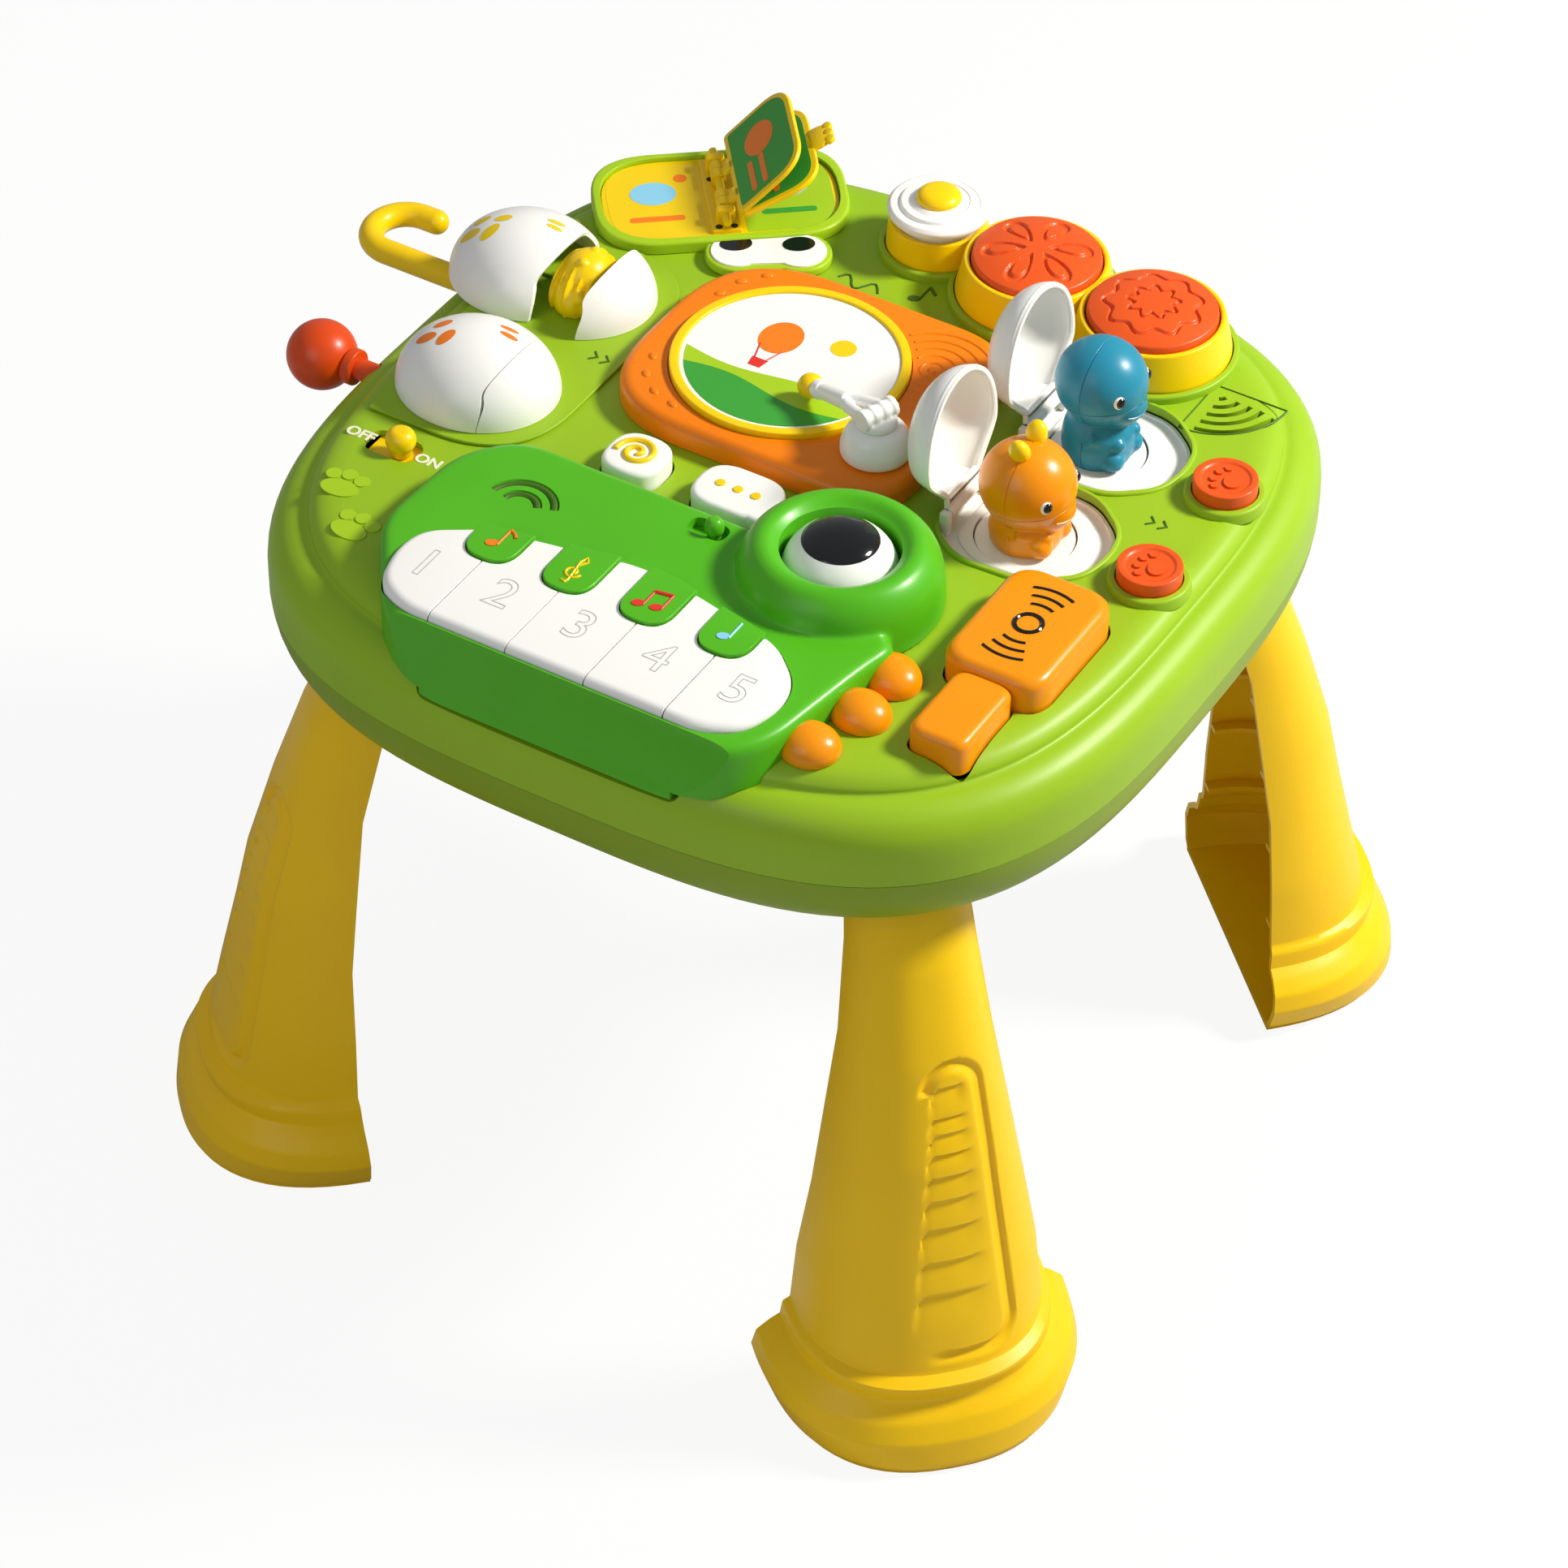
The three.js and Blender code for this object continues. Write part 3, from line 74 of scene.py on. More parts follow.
def moulded(name, colour, deep, roughness=0.3, grain=0.05, coat=0.0):
    material = bpy.data.materials.new(name)
    material.use_nodes = True
    tree = material.node_tree
    shader = tree.nodes["Principled BSDF"]
    place = addNode(tree, "ShaderNodeTexCoord").outputs["Object"]
    # flow of the melt: a slow drift of colour some 60 mm across
    drift = addNode(tree, "ShaderNodeTexNoise", {"Vector": place, "Scale": 16.0, "Detail": 2.0})
    tint = addNode(tree, "ShaderNodeMix", {0: drift.outputs["Fac"], 6: linear(colour), 7: linear(deep)}, data_type="RGBA")
    tree.links.new(tint.outputs[2], shader.inputs["Base Color"])
    polish = addNode(tree, "ShaderNodeTexNoise", {"Vector": place, "Scale": 55.0, "Detail": 3.0})
    rough = addNode(tree, "ShaderNodeMapRange", {"Value": polish.outputs["Fac"], "To Min": roughness - 0.04, "To Max": roughness + 0.04})
    tree.links.new(rough.outputs["Result"], shader.inputs["Roughness"])
    # spark-eroded tool texture: real grain is 0.1 mm, drawn at 0.9 mm so that it shows
    grit = addNode(tree, "ShaderNodeTexNoise", {"Vector": place, "Scale": 1100.0, "Detail": 2.0})
    bump = addNode(tree, "ShaderNodeBump", {"Height": grit.outputs["Fac"], "Strength": grain, "Distance": 0.0003})
    tree.links.new(bump.outputs["Normal"], shader.inputs["Normal"])
    shader.inputs["IOR"].default_value = 1.53
    shader.inputs["Specular IOR Level"].default_value = 0.32
    shader.inputs["Coat Weight"].default_value = coat
    shader.inputs["Coat Roughness"].default_value = 0.08
    return material


# ABS moulded in a finely textured tool: even satin colour with soft highlights
limeAbs = moulded("satinLimeAbs", "#98bf22", "#8eb418", 0.42, 0.08)
leafAbs = moulded("satinLeafAbs", "#a9cf22", "#9ec41a", 0.4, 0.08)
skirtAbs = moulded("satinSkirtAbs", "#88a614", "#7e9b0e", 0.42, 0.08)
# ABS from a polished tool: smooth, with small clear highlights
grassAbs = moulded("polishedGrassAbs", "#56b81a", "#4aaa14", 0.36, 0.04, 0.05)
yellowAbs = moulded("polishedYellowAbs", "#fbd400", "#f4ca00", 0.32, 0.04, 0.06)
legAbs = moulded("satinYellowAbs", "#f9cc00", "#f2c200", 0.4, 0.06)
orangeAbs = moulded("polishedOrangeAbs", "#f58400", "#ee7a00", 0.34, 0.04, 0.06)
amberAbs = moulded("polishedAmberAbs", "#f39600", "#ec8c00", 0.3, 0.03, 0.15)
coralAbs = moulded("polishedCoralAbs", "#e75a1a", "#de5014", 0.36, 0.04, 0.06)
redAbs = moulded("polishedRedAbs", "#dd4a0e", "#d3420a", 0.34, 0.04, 0.06)
whiteAbs = moulded("polishedWhiteAbs", "#f6f6f4", "#f0f0ee", 0.3, 0.02, 0.15)
blueAbs = moulded("polishedBlueAbs", "#2a8eac", "#2283a2", 0.34, 0.03, 0.06)
# Painted shade: a dark green laid in grooves and along relief lines of the lime plastic, where there is only shade
paintedShadeAbs = moulded("mattPaintedShadeAbs", "#47701a", "#3f6616", 0.5, 0.05)
# Dark ABS of the battery box, also used as painted shade in the holes of the book's spine
darkAbsAndHoleShade = moulded("mattDarkAbsAndHoleShade", "#25272b", "#1e2023", 0.55, 0.06)
# Glossy pad-printed ink: a thin even film, a little smoother than the plastic under it. The grey is no ink but painted
# shade.
blackInk = moulded("glossBlackInk", "#101214", "#0b0c0e", 0.12, 0.01, 0.5)
# Painted shade: the grey of the engraved outlines of the key digits
digitShadeGrey = moulded("satinGreyDigitShade", "#bfc1bf", "#b4b6b4", 0.4, 0.01)
orangeInk = moulded("satinOrangeInk", "#f5821e", "#ef7a18", 0.35, 0.01)
yellowInk = moulded("satinYellowInk", "#f2d010", "#edc80a", 0.35, 0.01)
redInk = moulded("satinRedInk", "#e2382c", "#db3026", 0.35, 0.01)
blueInk = moulded("satinBlueInk", "#8fd0ee", "#86c8e8", 0.35, 0.01)
greenInk = moulded("satinGreenInk", "#3fa23a", "#389a34", 0.35, 0.01)
creamInk = moulded("satinCreamInk", "#f2f0dc", "#ebe9d2", 0.35, 0.01)
# Solder mask on glass-fibre board, and pressed steel
boardMask = moulded("solderMaskBoard", "#1f6b3a", "#1a6034", 0.35, 0.05)
pressedSteel = moulded("pressedSteel", "#a9adb2", "#9da1a6", 0.35, 0.05)
pressedSteel.node_tree.nodes["Principled BSDF"].inputs["Metallic"].default_value = 1.0
print("materials made")


# Shapes

def roundOff(points, corners, steps=6, closed=True):
    outline = []
    count = len(points)
    for i, point in enumerate(points):
        here = Vector(point)
        if not closed and i in (0, count - 1):
            outline.append(here)
            continue
        before = Vector(points[i - 1])
        after = Vector(points[(i + 1) % count])
        corner = corners[i] if isinstance(corners, (list, tuple)) else corners
        start = here.lerp(before, min(corner / (before - here).length, cornerShare))
        end = here.lerp(after, min(corner / (after - here).length, cornerShare))
        for k in range(steps + 1):
            t = k / steps
            outline.append(start.lerp(here, t).lerp(here.lerp(end, t), t))
    return outline


def roundedBox(x, y, width, length, corner, steps=8):
    right, left, back, front = x + width / 2, x - width / 2, y + length / 2, y - length / 2
    return roundOff([(left, front), (right, front), (right, back), (left, back)], corner, steps)


def circle(x, y, radius, steps=64):
    turns = [2 * math.pi * i / steps for i in range(steps)]
    return [(x + radius * math.cos(t), y + radius * math.sin(t)) for t in turns]


def fromShares(shares, left, front, width, depth):
    return [(left + x * width, front + y * depth) for x, y in shares]


# An outline drawn up from low to high, with a rounded top edge
def slab(outline, low, high, soft=0, segments=5):
    bm = bmesh.new()
    face = bm.faces.new([bm.verts.new((p[0], p[1], low)) for p in outline])
    xs, ys = [p[0] for p in outline], [p[1] for p in outline]
    middle = Matrix.Translation((-(min(xs) + max(xs)) / 2, -(min(ys) + max(ys)) / 2, 0))
    halfX, halfY = (max(xs) - min(xs)) / 2, (max(ys) - min(ys)) / 2
    levels = [(0, high - soft)]
    for k in range(1, segments + 1 if soft else 1):
        turn = math.pi / 2 * k / segments
        levels.append((soft * (1 - math.cos(turn)), high - soft + soft * math.sin(turn)))
    inset, height = 0, low
    for nextInset, nextHeight in levels:
        grown = bmesh.ops.extrude_face_region(bm, geom=[face])
        if height > low:
            bmesh.ops.delete(bm, geom=[face], context="FACES_ONLY")
        face = next(g for g in grown["geom"] if isinstance(g, bmesh.types.BMFace))
        verts = list(face.verts)
        bmesh.ops.translate(bm, verts=verts, vec=(0, 0, nextHeight - height))
        shrink = ((halfX - nextInset) / (halfX - inset), (halfY - nextInset) / (halfY - inset), 1)
        bmesh.ops.scale(bm, verts=verts, vec=shrink, space=middle)
        inset, height = nextInset, nextHeight
    bmesh.ops.recalc_face_normals(bm, faces=bm.faces)
    return bm


def turned(profile, x=0, y=0, steps=96):
    bm = bmesh.new()
    verts = [bm.verts.new((x + p[0], y, p[1])) for p in profile]
    edges = [bm.edges.new(pair) for pair in zip(verts, verts[1:])]
    bmesh.ops.spin(bm, geom=verts + edges, cent=(x, y, 0), axis=(0, 0, 1), angle=2 * math.pi, steps=steps, use_merge=True)
    bmesh.ops.remove_doubles(bm, verts=bm.verts, dist=0.001)
    bmesh.ops.recalc_face_normals(bm, faces=bm.faces)
    return bm


# A turned solid whose profile corners are rounded off
def lathe(points, x=0, y=0, corner=1.0, steps=96):
    return turned(roundOff(points, corner, 4, closed=False), x, y, steps)


def ball(radius, place, squash=(1, 1, 1), steps=40):
    bm = bmesh.new()
    bmesh.ops.create_uvsphere(bm, u_segments=steps, v_segments=steps // 2, radius=radius)
    bmesh.ops.scale(bm, verts=bm.verts, vec=squash)
    bmesh.ops.translate(bm, verts=bm.verts, vec=place)
    return bm


def rod(radius, start, end, tip=None, sides=32):
    bm = bmesh.new()
    axis = Vector(end) - Vector(start)
    far = radius if tip is None else tip
    bmesh.ops.create_cone(bm, cap_ends=True, segments=sides, radius1=radius, radius2=far, depth=axis.length)
    bmesh.ops.rotate(bm, verts=bm.verts, matrix=axis.to_track_quat("Z", "Y").to_matrix())
    bmesh.ops.translate(bm, verts=bm.verts, vec=(Vector(start) + Vector(end)) / 2)
    return bm


def brick(x0, x1, y0, y1, z0, z1, corner=0.0):
    bm = bmesh.new()
    bmesh.ops.create_cube(bm, size=1)
    bmesh.ops.scale(bm, verts=bm.verts, vec=(x1 - x0, y1 - y0, z1 - z0))
    bmesh.ops.translate(bm, verts=bm.verts, vec=((x0 + x1) / 2, (y0 + y1) / 2, (z0 + z1) / 2))
    if corner:
        bmesh.ops.bevel(bm, geom=bm.edges[:], offset=corner, segments=4, profile=0.5, affect="EDGES", material=-1)
    return bm


def joinMeshes(parts):
    whole = bmesh.new()
    for part in parts:
        spare = bpy.data.meshes.new("spare")
        part.to_mesh(spare)
        part.free()
        whole.from_mesh(spare)
        bpy.data.meshes.remove(spare)
    return whole


def moved(bm, place=(0, 0, 0), angle=0.0, axis="Z"):
    bmesh.ops.rotate(bm, verts=bm.verts, cent=(0, 0, 0), matrix=Matrix.Rotation(angle, 3, axis))
    bmesh.ops.translate(bm, verts=bm.verts, vec=place)
    return bm


def spareObject(bm):
    mesh = bpy.data.meshes.new("spare")
    bm.to_mesh(mesh)
    bm.free()
    spare = bpy.data.objects.new("spare", mesh)
    bpy.context.scene.collection.objects.link(spare)
    return spare


# The mesh that a stack of modifiers leaves
def settled(spare):
    bpy.context.view_layer.update()
    result = bpy.data.meshes.new_from_object(spare.evaluated_get(bpy.context.evaluated_depsgraph_get()))
    bm = bmesh.new()
    bm.from_mesh(result)
    bpy.data.meshes.remove(result)
    bpy.data.objects.remove(spare)
    return bm


def combine(bm, others, operation):
    for other in others:
        spare, tool = spareObject(bm), spareObject(other)
        step = spare.modifiers.new("combine", "BOOLEAN")
        step.operation, step.solver, step.object = operation, "MANIFOLD", tool
        bm = settled(spare)
        bpy.data.objects.remove(tool)
    return bm


def cut(bm, cutters):
    return combine(bm, cutters, "DIFFERENCE")


def fused(parts):
    return combine(parts[0], parts[1:], "UNION")


# Overlapping bodies melted into one skin, with moulded fillets where they meet
def melted(parts, voxel, passes):
    spare = spareObject(joinMeshes(parts))
    skin = spare.modifiers.new("skin", "REMESH")
    skin.mode, skin.voxel_size = "VOXEL", voxel
    smooth = spare.modifiers.new("smooth", "SMOOTH")
    smooth.factor, smooth.iterations = 0.5, passes
    return settled(spare)


def tube(points, radius, cyclic=False, sides=3):
    curve = bpy.data.curves.new("tube", "CURVE")
    curve.dimensions = "3D"
    spline = curve.splines.new("POLY")
    spline.points.add(len(points) - 1)
    for dot, p in zip(spline.points, points):
        dot.co = (p[0], p[1], p[2], 1)
    spline.use_cyclic_u = cyclic
    curve.bevel_depth, curve.bevel_resolution, curve.use_fill_caps = radius, sides, True
    spare = bpy.data.objects.new("spare", curve)
    bpy.context.scene.collection.objects.link(spare)
    bm = settled(spare)
    bpy.data.curves.remove(curve)
    bmesh.ops.remove_doubles(bm, verts=bm.verts, dist=0.001)
    bmesh.ops.recalc_face_normals(bm, faces=bm.faces)
    return bm


def lettering(words, size, x, y, z, thick, angle=0.0, outlineRadius=0.0):
    curve = bpy.data.curves.new("words", "FONT")
    curve.body, curve.size, curve.align_x, curve.align_y = words, size, "CENTER", "CENTER"
    if outlineRadius:
        curve.fill_mode, curve.bevel_depth, curve.bevel_resolution = "NONE", outlineRadius, 2
    else:
        curve.extrude, curve.offset = thick, 0.22
    spare = bpy.data.objects.new("spare", curve)
    bpy.context.scene.collection.objects.link(spare)
    bm = settled(spare)
    bpy.data.curves.remove(curve)
    return moved(bm, (x, y, z), angle)


def smoothRamp(value, low, high):
    t = min(max((value - low) / (high - low), 0), 1)
    return t * t * (3 - 2 * t)


# Moves the upward faces' points by a depth worked out from their place
def dent(bm, depthAt, x=0, y=0):
    bm.normal_update()
    for vert in bm.verts:
        if vert.normal.z > 0.6:
            vert.co.z -= depthAt(vert.co.x - x, vert.co.y - y)
    return bm


# The finished piece: in metres, smooth but for its sharp edges, on its body
def make(name, bm, body, material, nodes=(), angle=32, bevel=0.0):
    bmesh.ops.scale(bm, verts=bm.verts, vec=(mm, mm, mm))
    bmesh.ops.translate(bm, verts=bm.verts, vec=tableMiddle)
    mesh = bpy.data.meshes.new(name)
    bm.to_mesh(mesh)
    bm.free()
    mesh.shade_smooth()
    mesh.set_sharp_from_angle(angle=math.radians(angle))
    piece = bpy.data.objects.new(name, mesh)
    bpy.context.scene.collection.objects.link(piece)
    mesh.materials.append(material)
    if bevel:
        edge = piece.modifiers.new("edge", "BEVEL")
        edge.width, edge.segments, edge.limit_method = bevel * mm, 2, "ANGLE"
        edge.angle_limit, edge.harden_normals = math.radians(45), True
    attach(piece, body)
    if nodes:
        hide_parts(*nodes)
    return piece


# Casing

casing = {"halfWidth": 210, "depthShare": 1.009, "power": 3.135, "top": 347, "rimWidth": 26, "rimDrop": 43,
          "wall": 3, "skirtWidth": 12, "skirtDrop": 28, "steps": 160}
rimShares = [(1, 0), (0.79, 0.04), (0.65, 0.13), (0.64, 0.2), (0.42, 0.21), (0.19, 0.3), (0.04, 0.465), (0, 0.65), (0, 1)]
skirtShares = [(0, 0), (0.08, 0.32), (0.29, 0.64), (0.62, 0.91), (1, 1)]
coverTop = casing["top"]
parting = coverTop - casing["rimDrop"]
floorHeight = parting - casing["skirtDrop"]

croc = {"left": -122, "front": -210, "width": 234, "depth": 139, "top": 362, "chin": 330.5, "soft": 5, "corner": 14}
crocShares = [
    (0.01, 0.83), (0.09, 1), (0.6, 1), (0.8, 1), (0.96, 0.79), (1, 0.74), (0.98, 0.61), (0.94, 0.18),
    (0.88, 0.05), (0.79, 0), (0.25, 0), (0.14, 0.09), (0, 0.43)]
notch = {"halfWidth": 66, "front": -188, "floor": 328, "corner": 5}
jaw = {"halfWidth": 63, "lipHeight": 358, "lipBack": 11, "run": 12, "drop": 30}
mouth = {"left": -103, "front": -198, "width": 195, "depth": 77, "corner": 9}
mouthShares = [
    (0, 0.4), (0.015, 0.62), (0.14, 0.83), (0.48, 1), (0.58, 1), (0.89, 0.83), (0.98, 0.62), (1, 0.4),
    (0.97, 0.13), (0.89, 0), (0.12, 0), (0.03, 0.13)]
mound = {"x": 66, "y": -77, "radius": 45, "socket": 26.5, "crown": 379, "floor": 352}
modeSlot = {"x": 3.6, "y": -83, "length": 19, "width": 11, "depth": 5}

powerSlot = {"x": -155, "y": -92, "length": 27, "width": 16, "knob": 4}
spiral = {"x": -55, "y": -48.5, "radius": 14.5, "rise": 9, "soft": 2.5}
speech = {"x": -3, "y": -48, "length": 41, "width": 30, "corner": 15, "rise": 10, "soft": 2.5}
paw = {"x": 174, "backY": 72, "frontY": 2, "radius": 14.5, "rise": 10, "soft": 1.5, "collar": 3.5, "collarRise": 3.5}
sound = {"x": 152, "y": -66, "width": 49, "length": 72, "rise": 16, "corner": 14, "soft": 5}
soundTail = {"x": 152, "y": -123, "width": 28, "length": 46, "rise": 12, "corner": 8, "soft": 4}
plunger = 5
cup = {"left": 77, "length": 74, "halfWidth": 35, "corner": 9, "floor": 342, "wall": 1.8, "hole": 22.9, "lip": 1.5}
cupShares = [
    (0, -0.6), (0.25, -0.98), (0.7, -0.93), (0.95, -0.5), (1, 0), (0.95, 0.5), (0.7, 0.93), (0.25, 0.98), (0, 0.6)]
sides = {"back": 77, "front": 7}
drums = {"left": {"x": -24.5, "y": 163.5, "radius": 24.5, "taper": 1.6, "rim": 365},
         "middle": {"x": 32.3, "y": 155, "radius": 37.5, "taper": 4.1, "rim": 368.5},
         "right": {"x": 96.6, "y": 147, "radius": 37.5, "taper": 4.1, "rim": 368.5}}
drum = {"wall": 2.6, "bottom": 2.5, "stem": 7, "collar": 3, "collarRise": 4, "foot": 10}
friedEgg = {"radius": 24, "thickness": 7, "yolk": 11, "yolkRise": 5}
egg = {"x": -146.6, "backY": 43.3, "frontY": -37.2, "halfLength": 38.8, "halfWidth": 34.5, "height": 29.5, "wall": 2,
       "crack": -128, "travel": 25, "rim": 349.1}
tab = {"x": -160, "thickness": 4, "width": 10, "top": 366}
rods = {"height": 331, "hook": 6, "ball": 5.2, "bendX": -253, "bendRadius": 16, "endX": -246, "ballX": -233, "ballRadius": 16.5}
disc = {"x": -29, "y": 38.7, "radius": 54.5, "top": 362, "floor": 357.5, "rim": 4.6}
grille = {"x": 137, "y": 137, "pitch": 6, "slot": 2.6, "edge": 3, "slots": 5, "sector": 36}


def squareOff(bm):
    for vert in bm.verts:
        radius = math.hypot(vert.co.x, vert.co.y)
        if radius > gap:
            across = abs(vert.co.x / radius) ** casing["power"]
            along = abs(vert.co.y / radius) ** casing["power"]
            reach = (across + along) ** (-1 / casing["power"])
            vert.co.x *= reach
            vert.co.y *= reach * casing["depthShare"]
    return bm


def rimLine(inset):
    line = [(casing["halfWidth"] - x * casing["rimWidth"] - inset, coverTop - drop * casing["rimDrop"] - inset)
            for x, drop in rimShares]
    return line[:-1] + [(line[-1][0], parting)]


def skirtLine(inset):
    return [(casing["halfWidth"] - x * casing["skirtWidth"] - inset,
             min(parting - drop * casing["skirtDrop"] + inset, parting) - gap) for x, drop in skirtShares]


def cupOutline(y):
    shares = fromShares(cupShares, cup["left"], y, cup["length"], cup["halfWidth"])
    return roundOff(shares, cup["corner"], 8)


def speechOutline():
    return roundedBox(speech["x"], speech["y"], speech["length"], speech["width"], speech["corner"], 12)


def spiralOutline():
    x, y, r = spiral["x"], spiral["y"], spiral["radius"]
    return roundOff([(x - r, y - r), (x + r, y - r), (x + r, y + r), (x - r, y + r)], r, 12)


def crocOutline(grow=0):
    shares = fromShares(crocShares, croc["left"] - grow, croc["front"] - grow, croc["width"] + 2 * grow, croc["depth"] + 2 * grow)
    return roundOff(shares, croc["corner"], 10)


def mouthOutline(inset=0):
    shares = fromShares(mouthShares, mouth["left"] + inset, mouth["front"] + inset, mouth["width"] - 2 * inset, mouth["depth"] - 2 * inset)
    return roundOff(shares, mouth["corner"], 8)


def grown(outline, amount):
    xs, ys = [p[0] for p in outline], [p[1] for p in outline]
    cx, cy = (min(xs) + max(xs)) / 2, (min(ys) + max(ys)) / 2
    kx, ky = 1 + 2 * amount / (max(xs) - min(xs)), 1 + 2 * amount / (max(ys) - min(ys))
    return [(cx + (p[0] - cx) * kx, cy + (p[1] - cy) * ky) for p in outline]


def disk(radius, low, high, x, y, steps=64):
    return slab(circle(x, y, radius, steps), low, high)


def grilleSlot(index):
    radius = index * grille["pitch"]
    turn = grille["edge"] / radius
    outline = []
    for reach, turns in ((radius + grille["slot"] / 2, range(13)), (radius - grille["slot"] / 2, range(12, -1, -1))):
        for k in turns:
            angle = -math.pi / 2 + turn + (math.pi / 2 - 2 * turn) * k / 12
            outline.append((grille["x"] + reach * math.cos(angle), grille["y"] + reach * math.sin(angle)))
    return slab(outline, coverTop - 12, coverTop + overrun)


# A collar's foot where a drum stands out over the sloping rim
def collarFoot(one):
    inside = squareOff(turned([(0, parting), *reversed(rimLine(casing["wall"])), (0, coverTop - casing["wall"])], steps=casing["steps"]))
    foot = disk(one["radius"] + drum["collar"], coverTop - drum["foot"], coverTop + 1, one["x"], one["y"], 96)
    return cut(foot, [inside])


def coverShell():
    outer = roundOff(rimLine(0), 4, 5, closed=False)
    inner = rimLine(casing["wall"])[::2]
    profile = [(0, coverTop), (outer[0][0] - 5, coverTop), *outer, *reversed(inner), (0, coverTop - casing["wall"])]
    shell = squareOff(turned(profile, steps=casing["steps"]))
    low, high = coverTop - casing["wall"], coverTop + overrun
    collars = [lathe([(0, low), (d["radius"] + drum["collar"], low), (d["radius"] + drum["collar"], coverTop + drum["collarRise"]),
                      (0, coverTop + drum["collarRise"])], d["x"], d["y"], 1.4) for d in drums.values()]
    collars += [collarFoot(d) for d in drums.values()]
    collars += [cut(slab(grown(cupOutline(y), 2.4), low, coverTop + cup["lip"], 1.2), [slab(cupOutline(y), low - 1, high)]) for y in sides.values()]
    collars += [lathe([(0, low), (paw["radius"] + paw["collar"] + 1, low), (paw["radius"] + paw["collar"], coverTop + paw["collarRise"]),
                       (0, coverTop + paw["collarRise"])], paw["x"], paw[key], 1.4) for key in ("backY", "frontY")]
    shell = fused([shell, *collars])
    under = low - overrun
    cutters = [disk(d["radius"] + gap, coverTop, high, d["x"], d["y"], 96) for d in drums.values()]
    cutters += [disk(paw["radius"] + runningGap, under, high, paw["x"], paw[key]) for key in ("backY", "frontY")]
    cutters += [slab(grown(cupOutline(y), gap), under, high) for y in sides.values()]
    cutters += [slab(grown(spiralOutline(), 0.9), under, high), slab(grown(speechOutline(), 0.9), under, high)]
    cutters += [slab(grown(roundedBox(s["x"], s["y"], s["width"], s["length"], s["corner"]), 0.9), under, high) for s in (sound, soundTail)]
    cutters += [slab(roundedBox(powerSlot["x"], powerSlot["y"], powerSlot["length"], powerSlot["width"], powerSlot["width"] / 2), under, high)]
    cutters += [grilleSlot(i + 1) for i in range(grille["slots"])]
    cutters += [brick(-notch["halfWidth"], notch["halfWidth"], -casing["halfWidth"] - 30, notch["front"], notch["floor"], high + 10, notch["corner"])]
    for y, radius in ((egg["backY"], rods["hook"]), (egg["frontY"], rods["ball"])):
        cutters.append(rod(radius + runningGap, (-casing["halfWidth"] - overrun, y, rods["height"]), (casing["rimWidth"] - casing["halfWidth"], y, rods["height"])))
    shell = cut(shell, cutters)
    lining = brick(-notch["halfWidth"] - 3, notch["halfWidth"] + 3, -casing["halfWidth"] - 1, notch["front"] + 3, notch["floor"] - 3, notch["floor"] - 0.05)
    backWall = brick(-notch["halfWidth"] - 3, notch["halfWidth"] + 3, notch["front"] + 0.05, notch["front"] + 3, notch["floor"] - 3, coverTop - 1)
    sidesOfNotch = [brick(min(s * notch["halfWidth"], s * (notch["halfWidth"] + 3)), max(s * notch["halfWidth"], s * (notch["halfWidth"] + 3)),
                          -casing["halfWidth"] + 5, notch["front"] + 3, notch["floor"] - 3, notch["floor"] + 8) for s in (-1, 1)]
    outside = squareOff(turned([(0, parting), *reversed(rimLine(0.4)), (0, coverTop - 0.4)], steps=casing["steps"]))
    lining = combine(fused([lining, backWall, *sidesOfNotch]), [outside], "INTERSECT")
    make("cover_shell", shell, "table", limeAbs, ["top_cover"], 30, 0.5)
    make("cover_notch", lining, "table", limeAbs)


def trayShell():
    outer = roundOff(skirtLine(0), 4, 5, closed=False)
    inner = skirtLine(casing["wall"])
    profile = [(0, floorHeight - gap + casing["wall"]), *reversed(inner), *outer, (outer[-1][0] - 6, floorHeight - gap), (0, floorHeight - gap)]
    shell = squareOff(turned(profile, steps=casing["steps"]))
    opening = slab(roundedBox(0, -40, 112, 64, 4), floorHeight - overrun, floorHeight + 10)
    make("tray_shell", cut(shell, [opening]), "table", skirtAbs, ["bottom_tray"], 30, 0.4)


# Legs

leg = {"chord": 223, "halfWidth": 74, "reach": 301, "top": 275.4, "wall": 3, "power": 2.4, "hoop": 6, "hoopThickness": 2.5,
       "columns": 130, "rows": 230}
legShares = [
    (0, 0.991, 0.87, 0.993), (0.018, 0.991, 0.94, 1), (0.065, 0.992, 1, 0.993), (0.098, 0.994, 0.97, 0.977),
    (0.12, 0.996, 0.885, 0.957), (0.13, 0.996, 0.825, 0.955), (0.16, 0.998, 0.81, 0.963), (0.17, 1, 0.765, 0.94),
    (0.286, 0.995, 0.725, 0.915), (0.4275, 0.989, 0.635, 0.884), (0.55, 0.969, 0.56, 0.86), (0.717, 0.94, 0.455, 0.812),
    (0.87, 0.885, 0.385, 0.76), (1, 0.82, 0.345, 0.705)]
panel = {"low": 54, "high": 198, "lowHalf": 25, "highHalf": 11, "shift": 8, "corner": 12, "groove": 3.8, "depth": 2.6,
         "ledges": (189, 175, 167, 158, 147, 135, 121, 104, 87, 68), "step": 2.0}
hoopShares = [0.2, 0.36, 0.51, 0.66]


def legRow(share):
    for (a, *first), (b, *second) in zip(legShares, legShares[1:]):
        if share <= b:
            t = (share - a) / (b - a)
            return [p + (q - p) * t for p, q in zip(first, second)]
    return legShares[-1][1:]


def legPoint(turn, share, inset=0):
    near, width, reach = legRow(share)
    near *= leg["chord"]
    across = abs(math.cos(turn)) ** (2 / leg["power"])
    side = math.copysign(abs(math.sin(turn)) ** (2 / leg["power"]), turn)
    return near + across * (reach * leg["reach"] - inset - near), side * (width * leg["halfWidth"] - inset)


def legOutline(share, inset):
    return [legPoint(-math.pi / 2 + math.pi * k / 32, share, inset) for k in range(33)]


